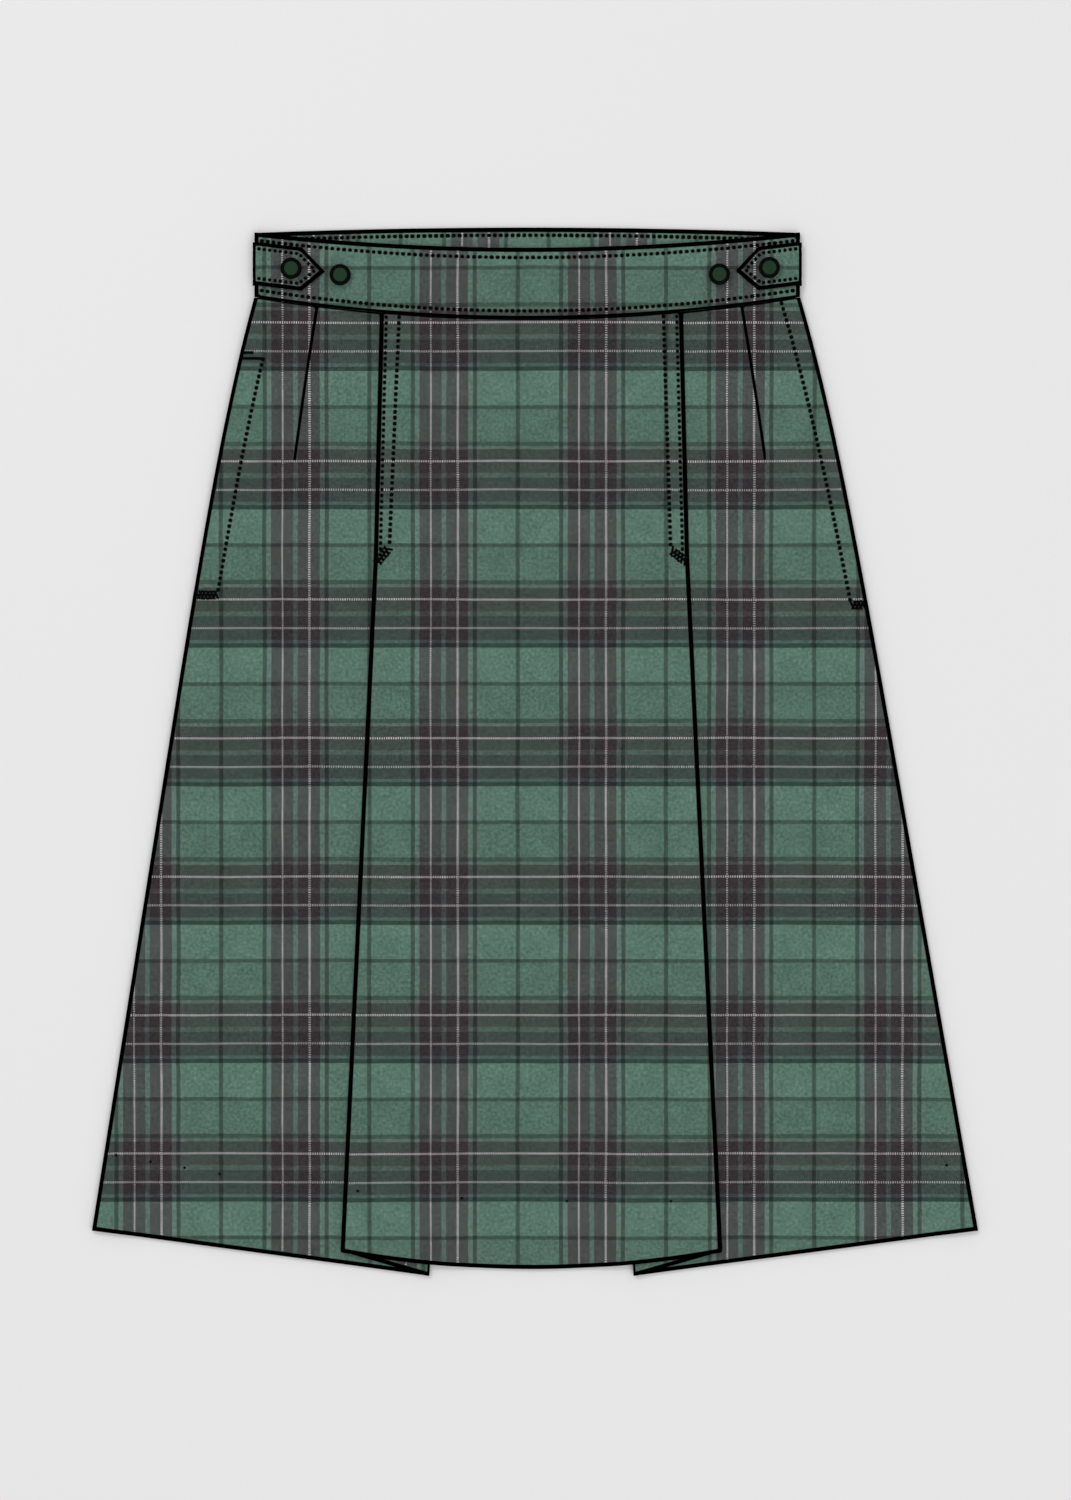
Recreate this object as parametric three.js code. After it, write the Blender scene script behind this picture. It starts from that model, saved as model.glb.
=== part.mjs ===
// A checked skirt lying flat on its back, front side up, at its real size in millimetres.
// +X points to the wearer's left, +Y to the waist and +Z up. The origin is on the surface that the
// skirt lies on, under the middle of its length and of its hem. "right" and "left" are the wearer's.
// Every cloth piece is a thin closed wall, drawn from sections whose points come in pairs:
// one on the cloth's right side and one on its wrong side.

import * as THREE from "three";

// Cloth, and the gap that sewn pieces and lying layers keep
const CLOTH = 1.0;
const GAP = 0.3;
const LAYER = CLOTH + GAP;

// Lengths, as heights above the middle of the skirt's length
const LENGTH = 650.4;
const BACK_TOP = LENGTH / 2;
const BACK_RISE = 3.3;
const SIDE_TOP = BACK_TOP - BACK_RISE;
const BAND_DEPTH = 39.9;
const SIDE_SEAM_TOP = SIDE_TOP - BAND_DEPTH;
const FRONT_TOP_DIP = 9.6;
const FRONT_SEAM_DIP = 13.3;
const HEM_CORNER = -297.3;
const PLEAT_EDGE_HEM = -310.6;
const CENTRE_HEM_DIP = 10.5;
const PLEAT_CORNER = -LENGTH / 2;
const BACK_HEM_DIP = 20;
const BACK_HEM_POWER = 1.5;

// Widths of the whole skirt. The waist lies a little to the wearer's right of the hem's middle.
const HEM_HALF = 275;
const WAIST_RIGHT = 174.2;
const WAIST_LEFT = 164.6;
const WAIST_HALF = (WAIST_RIGHT + WAIST_LEFT) / 2;
const WAIST_MIDDLE = (WAIST_LEFT - WAIST_RIGHT) / 2;
const HIP_TUCK = 9.2;
const HIP_END = -180;
const HIP_POWER = 6;

// Centre panel and its two pleats
const PANEL_MIDDLE = -2.2;
const PANEL_HALF_TOP = 93.2;
const PANEL_HALF_RELEASE = 97;
const PANEL_HALF_HEM = 117.6;
const RELEASE = 120;
const SEAM_ALLOWANCE = 10;
const PLEAT_DEPTH_RELEASE = 30;
const PLEAT_DEPTH_HEM = 55;
const RELEASE_SLOPE = 20;

// Heights of the layers where the front lies on the back, and the radius of a pleat's inner fold
const REST = LAYER;
const RETURN_BOTTOM = 2 * LAYER;
const STACK_BOTTOM = 3 * LAYER;
const INNER_FOLD = (LAYER + CLOTH) / 2;
const STACK_RAMP = 30;
const BAND_LIFT_CENTRE = 1.7;
const BAND_LIFT_SIDE = 1.1;
const BAND_LIFT_REACH = 70;

// Rounded side seam
const SEAM_RADIUS_WAIST = 2.45;
const SEAM_RADIUS_HIP = 2.2;
const SEAM_RADIUS_HEM = 1.85;
const SEAM_SLIT = 0.15;
const SEAM_PLATEAU = 8;
const SEAM_RAMP = 24;

// Waistband, tabs and buttons
const BAND = 2.7;
const BACK_BAND = BAND - GAP;
const BAND_EDGE_ROUND = 0.7;
const BAND_END_ANGLE = 16;
const TAB = 1.6;
const TAB_HALF_HEIGHT = 13.4;
const TAB_RISE = 0.5;
const TAB_ROOT = 0.7;
const TAB_ROOT_ANGLE = 4;
const BUTTON_RADIUS = 6.7;
const BUTTON_HEIGHT = 3.9;
const BUTTON_RIM = 0.7;
const BUTTON_SHANK = 1.4;
const BUTTON_SHANK_RADIUS = 1.7;
const TAB_BUTTON_DROP = 0.75;
const BAND_BUTTON_DROP = 1.3;

// Darts: where they lie between the pleat (0) and the side seam (1), and how far down they run
const DART_PLACE = 0.495;
const DART_LENGTH = 97;
const DART_GROOVE = 0.4;
const DART_HALF_WIDTH = 0.012;

// Side pocket on the wearer's right: mouth and bag
const POCKET_TOP = 245;
const POCKET_BOTTOM = 97;
const POCKET_SLIT = 0.8;
const BAG = 0.8;
const BAG_END = 50;
const BAG_TO_PLEAT = 34;
const BAG_RAMP = 34;
const BAG_STRAIGHT = 0.72;
const BAG_ROUND = 0.8;

// Side zip on the wearer's left
const ZIP_END = 93;
const ZIP_TAPE = 0.6;
const ZIP_TAPE_WIDTH = 24;
const ZIP_CHAIN = 1.8;
const ZIP_RAMP = 24;
const SLIDER_TOP = 274;
const SLIDER_LENGTH = 8;
const SLIDER_HEIGHT = 2.3;

const SIDES = [
  {
    name: "right", sign: -1, waist: WAIST_RIGHT,
    tabTip: 44, tabShoulder: 29.6, tabButton: 23.4, bandButton: 53.6,
  },
  {
    name: "left", sign: 1, waist: WAIST_LEFT,
    tabTip: 40.2, tabShoulder: 26.3, tabButton: 19.7, bandButton: 50.5,
  },
];
const [RIGHT, LEFT] = SIDES;

const GREEN = 0x58746a;
const BUTTON_GREEN = 0x2a4630;
const LINING = 0x3a4a44;
const ZIP_GREEN = 0x2c3f37;
const METAL = 0x8b8f8e;

const mix = (a, b, t) => a + (b - a) * t;
const clamp = (v) => Math.min(1, Math.max(0, v));
const smooth = (v) => clamp(v) ** 2 * (3 - 2 * clamp(v));
const fall = (distance, start, end) => 1 - smooth((distance - start) / (end - start));
const softMax = (...values) => values.reduce((sum, v) => sum + v ** 4, 0) ** 0.25;
const radians = (degrees) => (degrees * Math.PI) / 180;
const steps = (count, from = 0, to = 1) =>
  Array.from({ length: count + 1 }, (_, k) => mix(from, to, k / count));

// Outline curves

// 1 at the middle of the waist and 0 at its sides
const waistBow = (x) => 1 - ((x - WAIST_MIDDLE) / WAIST_HALF) ** 2;
const frontTop = (x) => SIDE_TOP - FRONT_TOP_DIP * waistBow(x);
const frontSeam = (x) => SIDE_SEAM_TOP - FRONT_SEAM_DIP * waistBow(x);
const backTop = (x) => SIDE_TOP + BACK_RISE * waistBow(x);
const backSeam = (x) => SIDE_SEAM_TOP + BACK_RISE * waistBow(x);

// Distance of a side seam from x = 0
function sideReach(side, y) {
  const straight = mix(HEM_HALF, side.waist + HIP_TUCK, (y - HEM_CORNER) / (SIDE_SEAM_TOP - HEM_CORNER));
  const hip = Math.max(0, (y - HIP_END) / (SIDE_SEAM_TOP - HIP_END));
  return straight - HIP_TUCK * hip ** HIP_POWER;
}

// Half width of the centre panel, and how far the cloth is folded under at its edges
function panelHalf(y) {
  const seam = frontSeam(PANEL_MIDDLE + PANEL_HALF_TOP);
  return y > RELEASE
    ? mix(PANEL_HALF_RELEASE, PANEL_HALF_TOP, (y - RELEASE) / (seam - RELEASE))
    : mix(PANEL_HALF_RELEASE, PANEL_HALF_HEM, (RELEASE - y) / (RELEASE - PLEAT_EDGE_HEM));
}
function pleatDepth(y) {
  const below = clamp((RELEASE - y) / (RELEASE - PLEAT_EDGE_HEM));
  const open = smooth((RELEASE + 0.3 * RELEASE_SLOPE - y) / RELEASE_SLOPE);
  return mix(SEAM_ALLOWANCE, mix(PLEAT_DEPTH_RELEASE, PLEAT_DEPTH_HEM, below), open);
}

// Hems: the centre panel's bow, the side panel's straight run from the side corner to the pleat's
// inner corner, and the back's, which is a little shorter than both
const centreHem = (x) => PLEAT_EDGE_HEM - CENTRE_HEM_DIP * (1 - ((x - PANEL_MIDDLE) / PANEL_HALF_HEM) ** 2);
function sideHem(side, x) {
  const inner = PANEL_HALF_HEM - PLEAT_DEPTH_HEM + side.sign * PANEL_MIDDLE;
  return mix(PLEAT_CORNER, HEM_CORNER, clamp((side.sign * x - inner) / (HEM_HALF - inner)));
}
const backHem = (x) => HEM_CORNER - BACK_HEM_DIP * (1 - Math.abs(x / HEM_HALF) ** BACK_HEM_POWER);

// Height of a row of points, at a share of the way down from the waist seam to the hem. The second
// is the pleat's inner fold, where the side panel and the centre panel's return meet.
const rowFrom = (x, hem, down) => mix(frontSeam(x) - GAP, hem, down);
const foldRow = (sign, down) =>
  rowFrom(PANEL_MIDDLE + sign * (PANEL_HALF_TOP - SEAM_ALLOWANCE), PLEAT_CORNER, down);

// Radius of the rounded side seam, which is fuller at the waistband and along pocket and zip
function seamRadius(y) {
  const down = SIDE_SEAM_TOP - y;
  const hip = mix(SEAM_RADIUS_WAIST, SEAM_RADIUS_HIP, smooth(down / 100));
  return mix(hip, SEAM_RADIUS_HEM, smooth((down - 200) / 120));
}

// Closed wall from a grid of pairs. Each pair is [point on the right side, point on the wrong side].
function wallGeometry(rows) {
  const height = rows.length;
  const width = rows[0].length;
  const positions = [];
  for (const layer of [0, 1]) {
    for (const row of rows) for (const pair of row) positions.push(...pair[layer]);
  }
  const at = (layer, row, column) => layer * height * width + row * width + column;
  const faces = [];
  const quad = (a, b, c, d) => faces.push(a, b, c, a, c, d);
  for (let r = 0; r + 1 < height; r++) {
    for (let c = 0; c + 1 < width; c++) {
      quad(at(0, r, c), at(0, r + 1, c), at(0, r + 1, c + 1), at(0, r, c + 1));
      quad(at(1, r, c), at(1, r, c + 1), at(1, r + 1, c + 1), at(1, r + 1, c));
    }
  }
  for (let c = 0; c + 1 < width; c++) {
    quad(at(0, 0, c), at(0, 0, c + 1), at(1, 0, c + 1), at(1, 0, c));
    quad(at(0, height - 1, c), at(1, height - 1, c), at(1, height - 1, c + 1), at(0, height - 1, c + 1));
  }
  for (let r = 0; r + 1 < height; r++) {
    quad(at(0, r, 0), at(1, r, 0), at(1, r + 1, 0), at(0, r + 1, 0));
    quad(at(0, r, width - 1), at(0, r + 1, width - 1), at(1, r + 1, width - 1), at(1, r, width - 1));
  }
  if (signedVolume(positions, faces) < 0) faces.reverse();
  const geometry = new THREE.BufferGeometry();
  geometry.setAttribute("position", new THREE.Float32BufferAttribute(positions, 3));
  geometry.setIndex(faces);
  geometry.computeVertexNormals();
  return geometry;
}

function signedVolume(positions, faces) {
  const point = (index) => new THREE.Vector3().fromArray(positions, 3 * index);
  let volume = 0;
  for (let k = 0; k < faces.length; k += 3) {
    volume += point(faces[k]).dot(point(faces[k + 1]).cross(point(faces[k + 2])));
  }
  return volume;
}

// A pair where the cloth lies level, from the height of its underside, and one where it turns
// round an edge, at an angle above the horizontal seen from the edge's centre
const level = (x, y, bottom, thickness = CLOTH) => [
  [x, y, bottom + thickness],
  [x, y, bottom],
];
function turned(centreX, y, centreZ, radius, angle, thickness = CLOTH, sign = 1) {
  const [c, s] = [sign * Math.cos(angle), Math.sin(angle)];
  return [
    [centreX + radius * c, y, centreZ + radius * s],
    [centreX + (radius - thickness) * c, y, centreZ + (radius - thickness) * s],
  ];
}

// How open the side seam is: sewn, except along the pocket's mouth
function seamSlit(side, y) {
  const inMouth = smooth((POCKET_TOP - y) / 6) * smooth((y - POCKET_BOTTOM) / 6);
  return side === RIGHT ? mix(SEAM_SLIT, POCKET_SLIT, inMouth) : SEAM_SLIT;
}

// Underside of the front side panels: raised at the side seam, the waistband, the pocket bag and
// the zip's tape
function sideBottom(side, x, y) {
  const inward = sideReach(side, y) - side.sign * x;
  const fromPleat = side.sign * (x - PANEL_MIDDLE) - panelHalf(y);
  const clearOfPleat = smooth((fromPleat - 2) / 28);
  const seam = (2 * seamRadius(y) - CLOTH - REST) * fall(inward, SEAM_PLATEAU, SEAM_PLATEAU + SEAM_RAMP);
  const band = BAND_LIFT_SIDE * fall(frontSeam(x) - y, 0, BAND_LIFT_REACH) * clearOfPleat;
  const bag = (BAG + GAP) * fall(BAG_END - y, 0, BAG_RAMP) * clearOfPleat;
  const tapeAcross = fall(inward, ZIP_TAPE_WIDTH, ZIP_TAPE_WIDTH + ZIP_RAMP);
  const tape = (ZIP_TAPE + GAP) * tapeAcross * fall(ZIP_END - y, 0, ZIP_RAMP);
  return REST + softMax(seam, band, side === RIGHT ? bag : tape);
}

// Underside of the centre panel's top layer, raised over the pleats and at the waistband
function centreBottom(x, y) {
  const out = Math.abs(x - PANEL_MIDDLE);
  const inner = panelHalf(y) - pleatDepth(y) - 2;
  const stack = (STACK_BOTTOM - REST) * smooth((out - inner + STACK_RAMP) / STACK_RAMP);
  const band = BAND_LIFT_CENTRE * fall(frontSeam(x) - y, 0, BAND_LIFT_REACH);
  return REST + softMax(stack, band);
}

// Rows of points on the front, closest at the waist seam and where the pleats open
const DOWN = [0, 0.012, 0.03, 0.06, 0.1, 0.15, 0.2, 0.24, 0.257, 0.27, 0.29, 0.32,
  0.38, 0.47, 0.56, 0.65, 0.74, 0.83, 0.92, 1];
const FOLD_STEPS = 4;

// Centre panel: top layer, round a fold at each pleat edge, and back to the pleat's inner seam
function centrePanel() {
  const foldRadius = (y) => (centreBottom(PANEL_MIDDLE + panelHalf(y), y) + CLOTH - RETURN_BOTTOM) / 2;
  const returned = (sign, share, down) => {
    const atTop = PANEL_MIDDLE + sign * (PANEL_HALF_TOP - share * SEAM_ALLOWANCE);
    const y = rowFrom(atTop, mix(PLEAT_EDGE_HEM, PLEAT_CORNER, share), down);
    const edge = panelHalf(y) - foldRadius(y);
    const inner = panelHalf(y) - pleatDepth(y) + INNER_FOLD + GAP;
    return level(PANEL_MIDDLE + sign * mix(edge, inner, share), y, RETURN_BOTTOM).reverse();
  };
  const folded = (sign, angle, down) => {
    const y = rowFrom(PANEL_MIDDLE + sign * (PANEL_HALF_TOP - 2 * CLOTH), PLEAT_EDGE_HEM, down);
    const radius = foldRadius(y);
    const centre = PANEL_MIDDLE + sign * (panelHalf(y) - radius);
    return turned(centre, y, RETURN_BOTTOM + radius, radius, radians(angle), CLOTH, sign);
  };
  const lying = (across, down) => {
    const hem = centreHem(PANEL_MIDDLE + across * PANEL_HALF_HEM);
    const y = rowFrom(PANEL_MIDDLE + across * (PANEL_HALF_TOP - 2 * CLOTH), hem, down);
    const x = PANEL_MIDDLE + across * (panelHalf(y) - foldRadius(y));
    return level(x, y, centreBottom(x, y));
  };
  const section = (down) => [
    ...steps(2, 1, 0).map((share) => returned(-1, share, down)),
    ...steps(FOLD_STEPS, -90, 90).slice(1, -1).map((angle) => folded(-1, angle, down)),
    ...steps(20, -1, 1).map((across) => lying(across, down)),
    ...steps(FOLD_STEPS, 90, -90).slice(1, -1).map((angle) => folded(1, angle, down)),
    ...steps(2, 0, 1).map((share) => returned(1, share, down)),
  ];
  return wallGeometry(DOWN.map(section));
}

// Side panel: round the side seam, across to the pleat's edge, on under the centre panel as the
// pleat's underlay, and up round the pleat's inner fold
function sidePanel(side) {
  const { sign } = side;
  const pleatEdge = (half) => PANEL_MIDDLE + sign * half;
  const seamStart = sign * (side.waist - SEAM_RADIUS_WAIST);
  const atSeam = (share, down) => {
    const y = rowFrom(seamStart, HEM_CORNER, down);
    const radius = seamRadius(y);
    const end = Math.asin(seamSlit(side, y) / radius);
    const centre = sign * (sideReach(side, y) - radius);
    return turned(centre, y, radius, radius, mix(end, Math.PI / 2, share), CLOTH, sign);
  };
  const lying = ({ outward, groove }, down) => {
    const hem = sideHem(side, mix(pleatEdge(PANEL_HALF_HEM), sign * HEM_HALF, outward));
    const atTop = mix(pleatEdge(PANEL_HALF_TOP), seamStart, outward);
    const y = rowFrom(atTop, hem, down);
    const x = mix(pleatEdge(panelHalf(y)), sign * (sideReach(side, y) - seamRadius(y)), outward);
    const [face, back] = level(x, y, sideBottom(side, x, y));
    const toDartEnd = 1 - (frontSeam(atTop) - y) / DART_LENGTH;
    face[2] -= groove * DART_GROOVE * clamp(3 * toDartEnd);
    return [face, back];
  };
  const underlay = (share, down) => {
    const hem = sideHem(side, pleatEdge(PANEL_HALF_HEM - share * PLEAT_DEPTH_HEM));
    const y = rowFrom(pleatEdge(PANEL_HALF_TOP - share * SEAM_ALLOWANCE), hem, down);
    return level(pleatEdge(panelHalf(y) - share * (pleatDepth(y) - INNER_FOLD)), y, REST);
  };
  const innerFold = (angle, down) => {
    const y = foldRow(sign, down);
    const centre = pleatEdge(panelHalf(y) - pleatDepth(y) + INNER_FOLD);
    return turned(centre, y, REST + INNER_FOLD, INNER_FOLD, radians(angle), CLOTH, -sign).reverse();
  };
  const across = [
    ...steps(4, 1, DART_PLACE + 0.1).map((outward) => ({ outward, groove: 0 })),
    ...steps(2, DART_PLACE + DART_HALF_WIDTH, DART_PLACE - DART_HALF_WIDTH)
      .map((outward) => ({ outward, groove: outward === DART_PLACE ? 1 : 0 })),
    ...steps(4, DART_PLACE - 0.1, 0).map((outward) => ({ outward, groove: 0 })),
  ];
  const section = (down) => [
    ...steps(4, 0, 1).slice(0, -1).map((share) => atSeam(share, down)),
    ...across.map((column) => lying(column, down)),
    ...steps(3, 0, 1).slice(1).map((share) => underlay(share, down)),
    ...steps(FOLD_STEPS, -90, 90).slice(1).map((angle) => innerFold(angle, down)),
  ];
  return wallGeometry(DOWN.map(section));
}

// Back panel: flat on the surface, rounded up to the side seams
function backPanel() {
  const rows = [0, 0.05, 0.15, 0.28, 0.31, 0.5, 0.75, 1];
  const atSeam = (side, share, down) => {
    const y = mix(SIDE_SEAM_TOP - GAP, HEM_CORNER, down);
    const radius = seamRadius(y);
    const end = -Math.asin(seamSlit(side, y) / radius);
    const centre = side.sign * (sideReach(side, y) - radius);
    return turned(centre, y, radius, radius, mix(end, -Math.PI / 2, share), CLOTH, side.sign);
  };
  const lying = (across, down) => {
    const top = backSeam(mix(-WAIST_RIGHT, WAIST_LEFT, across)) - GAP;
    const y = mix(top, backHem(mix(-HEM_HALF, HEM_HALF, across)), down);
    const radius = seamRadius(y);
    const x = mix(radius - sideReach(RIGHT, y), sideReach(LEFT, y) - radius, across);
    return level(x, y, 0).reverse();
  };
  const section = (down) => [
    ...steps(4, 0, 1).slice(0, -1).map((share) => atSeam(RIGHT, share, down)),
    ...steps(12, 0, 1).map((across) => lying(across, down)),
    ...steps(4, 1, 0).slice(1).map((share) => atSeam(LEFT, share, down)),
  ];
  return wallGeometry(rows.map(section));
}

// Waistbands: slabs of folded cloth, rounded along their long edges and at the sides, where the
// front's outer face turns down and the back's turns up to the side seam
function waistband(top, seam, outerFace, innerFace) {
  const outward = Math.sign(outerFace - innerFace);
  const ends = (sign, waist) =>
    steps(4, BAND_END_ANGLE, 90).slice(0, -1).map((angle) => ({
      x: sign * (waist - BAND * (1 - Math.cos(radians(angle)))),
      outer: BAND + outward * BAND * Math.sin(radians(angle)),
    }));
  const flat = steps(18, BAND - WAIST_RIGHT, WAIST_LEFT - BAND).map((x) => ({ x, outer: outerFace }));
  const stations = [...ends(-1, WAIST_RIGHT), ...flat, ...ends(1, WAIST_LEFT).reverse()];
  const across = [
    { place: 0, inset: 0, trim: BAND_EDGE_ROUND },
    { place: 0, inset: BAND_EDGE_ROUND, trim: 0 },
    { place: 0.5, inset: 0, trim: 0 },
    { place: 1, inset: -BAND_EDGE_ROUND, trim: 0 },
    { place: 1, inset: 0, trim: BAND_EDGE_ROUND },
  ];
  const section = ({ place, inset, trim }) =>
    stations.map(({ x, outer }) => {
      const y = mix(top(x), seam(x), place) - inset;
      const cut = Math.min(trim, Math.abs(outer - innerFace) / 3);
      return [
        [x, y, outer - outward * cut],
        [x, y, innerFace + outward * cut],
      ];
    });
  return wallGeometry(across.map(section));
}

// Tab: lies on the front waistband with a pointed end. Its root gets thinner as it turns down with
// the waistband's end, to where it is caught in the side seam.
const tabMiddle = (x) => (frontTop(x) + frontSeam(x)) / 2 + TAB_RISE;
function tab(side) {
  const { sign } = side;
  const centre = side.waist - BAND;
  const section = (v) => {
    const end = side.waist - mix(side.tabTip, side.tabShoulder, Math.abs(v));
    const y = (x) => tabMiddle(sign * x) + v * TAB_HALF_HEIGHT;
    const root = (angle) => {
      const thickness = mix(TAB_ROOT, TAB, (angle - TAB_ROOT_ANGLE) / (90 - TAB_ROOT_ANGLE));
      const radius = BAND + GAP + thickness;
      return turned(sign * centre, y(centre), BAND, radius, radians(angle), thickness, sign);
    };
    return [
      ...steps(5, end, centre).map((x) => level(sign * x, y(x), 2 * BAND + GAP, TAB)),
      ...steps(4, 90, TAB_ROOT_ANGLE).slice(1).map(root),
    ];
  };
  return wallGeometry(steps(6, -1, 1).map(section));
}

// Button: a dished disc with a raised rim, on a shank
function button() {
  const dish = BUTTON_HEIGHT - BUTTON_RIM;
  const profile = [
    { radius: 0, height: 0 },
    { radius: BUTTON_SHANK_RADIUS, height: 0 },
    { radius: BUTTON_SHANK_RADIUS, height: BUTTON_SHANK },
    { radius: 0.78 * BUTTON_RADIUS, height: BUTTON_SHANK },
    { radius: BUTTON_RADIUS, height: BUTTON_SHANK + BUTTON_RIM },
    { radius: BUTTON_RADIUS, height: dish },
    { radius: BUTTON_RADIUS - 0.5, height: BUTTON_HEIGHT },
    { radius: BUTTON_RADIUS - 1.3, height: BUTTON_HEIGHT },
    { radius: BUTTON_RADIUS - 2, height: dish },
    { radius: 0, height: dish },
  ].map(({ radius, height }) => new THREE.Vector2(radius, height));
  return new THREE.LatheGeometry(profile, 24).rotateX(Math.PI / 2);
}

// Pocket bag: two plies of lining as one flat piece, from the waist seam down past the mouth
function pocketBag() {
  const side = RIGHT;
  const top = SIDE_SEAM_TOP - 12;
  const section = (down) => {
    const y = mix(top, BAG_END, down);
    const outer = sideReach(side, y) - 3;
    const widest = sideReach(side, y) - panelHalf(y) - BAG_TO_PLEAT - side.sign * PANEL_MIDDLE;
    const rounded = Math.sqrt(1 - BAG_ROUND * clamp((down - BAG_STRAIGHT) / (1 - BAG_STRAIGHT)) ** 2);
    const width = widest * rounded - 3;
    return steps(4, 0, 1).map((share) => level(side.sign * (outer - share * width), y, REST, BAG));
  };
  return wallGeometry(steps(12, 0, 1).map(section));
}

// Closed zip behind the lap of the side seam: tape, and the chain as a bar along it
function zip() {
  const profile = [
    { inward: ZIP_TAPE_WIDTH, height: ZIP_TAPE },
    { inward: 8, height: ZIP_TAPE },
    { inward: 7.4, height: ZIP_CHAIN },
    { inward: 3.8, height: ZIP_CHAIN },
    { inward: 3.2, height: ZIP_TAPE },
  ];
  const section = (y) =>
    profile.map(({ inward, height }) => level(sideReach(LEFT, y) - inward, y, REST, height));
  return wallGeometry(steps(10, SLIDER_TOP - SLIDER_LENGTH - GAP, ZIP_END).map(section));
}

// Zip slider at the top of the chain, with its pull folded down onto it
function slider() {
  const plan = [
    { down: 0, half: 1.6, height: SLIDER_HEIGHT - 0.5 },
    { down: 0.15, half: 2.7, height: SLIDER_HEIGHT },
    { down: 0.6, half: 2.7, height: SLIDER_HEIGHT },
    { down: 1, half: 2.1, height: SLIDER_HEIGHT - 0.5 },
  ];
  const section = ({ down, half, height }) => {
    const y = SLIDER_TOP - down * SLIDER_LENGTH;
    const middle = sideReach(LEFT, y) - 5.6;
    return steps(4, -half, half).map((dx) => level(middle + dx, y, REST, height - 0.12 * dx * dx));
  };
  return wallGeometry(plan.map(section));
}

const skirt = new THREE.Group();
skirt.name = "checked_skirt";
function add(name, geometry, color, roughness = 0.9, metalness = 0) {
  const mesh = new THREE.Mesh(geometry, new THREE.MeshStandardMaterial({ color, roughness, metalness }));
  mesh.name = name;
  skirt.add(mesh);
  return mesh;
}

add("back_panel", backPanel(), GREEN);
add("front_centre_panel", centrePanel(), GREEN);
add("waistband_back", waistband(backTop, backSeam, 0, BACK_BAND), GREEN);
add("waistband_front", waistband(frontTop, frontSeam, 2 * BAND, BAND), GREEN);
for (const side of SIDES) {
  add(`front_side_${side.name}`, sidePanel(side), GREEN);
  add(`tab_${side.name}`, tab(side), GREEN);
  const places = [
    { name: "tab", inward: side.tabButton, drop: TAB_BUTTON_DROP, under: 2 * BAND + GAP + TAB },
    { name: "waistband", inward: side.bandButton, drop: BAND_BUTTON_DROP, under: 2 * BAND },
  ];
  for (const { name, inward, drop, under } of places) {
    const x = side.sign * (side.waist - inward);
    const sewn = add(`button_${name}_${side.name}`, button(), BUTTON_GREEN, 0.35);
    sewn.position.set(x, tabMiddle(x) - drop, under + GAP);
  }
}
add("pocket_bag", pocketBag(), LINING, 0.7);
add("side_zip", zip(), ZIP_GREEN, 0.6);
add("zip_slider", slider(), METAL, 0.4, 0.8);

export default skirt;
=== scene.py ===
# A checked skirt laid flat on its back, dressed over its fixed frame: woven cloth shells with real
# pleat folds, seams, stitching and buttons. Sizes are in millimetres until a mesh is made.
import math
import random

import bmesh
import bpy
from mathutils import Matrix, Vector


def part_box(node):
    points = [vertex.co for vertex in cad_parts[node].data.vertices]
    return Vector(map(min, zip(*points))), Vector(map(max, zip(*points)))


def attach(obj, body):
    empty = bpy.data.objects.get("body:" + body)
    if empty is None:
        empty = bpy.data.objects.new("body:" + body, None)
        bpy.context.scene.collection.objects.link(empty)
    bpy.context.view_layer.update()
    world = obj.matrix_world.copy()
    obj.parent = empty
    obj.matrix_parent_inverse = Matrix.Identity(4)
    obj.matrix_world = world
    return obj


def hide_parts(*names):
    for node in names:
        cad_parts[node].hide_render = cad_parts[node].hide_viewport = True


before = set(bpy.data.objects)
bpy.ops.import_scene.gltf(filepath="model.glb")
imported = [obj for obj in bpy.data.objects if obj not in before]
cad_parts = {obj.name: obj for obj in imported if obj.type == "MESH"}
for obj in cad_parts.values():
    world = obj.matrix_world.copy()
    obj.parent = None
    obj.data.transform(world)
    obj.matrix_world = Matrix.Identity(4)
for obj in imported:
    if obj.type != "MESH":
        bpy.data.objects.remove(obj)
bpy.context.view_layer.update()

MM = 0.001
TURN = math.pi / 180


def node_box(node):
    low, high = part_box(node)
    return [c / MM for c in low], [c / MM for c in high]


# Sizes that the frame gives
BAND_LOW, BAND_HIGH = node_box("waistband_front")
BACK_HIGH = node_box("waistband_back")[1]
SIDE_LOW, SIDE_HIGH = node_box("front_side_left")
WAIST_RIGHT = -BAND_LOW[0]
WAIST_LEFT = BAND_HIGH[0]
SIDE_TOP = BAND_HIGH[1]
BACK_TOP = BACK_HIGH[1]
BAND_OUTER = BAND_HIGH[2]
BAND = BAND_OUTER - BAND_LOW[2]
BACK_BAND = BACK_HIGH[2]
HEM_HALF = SIDE_HIGH[0]
PLEAT_CORNER = SIDE_LOW[1]

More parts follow.
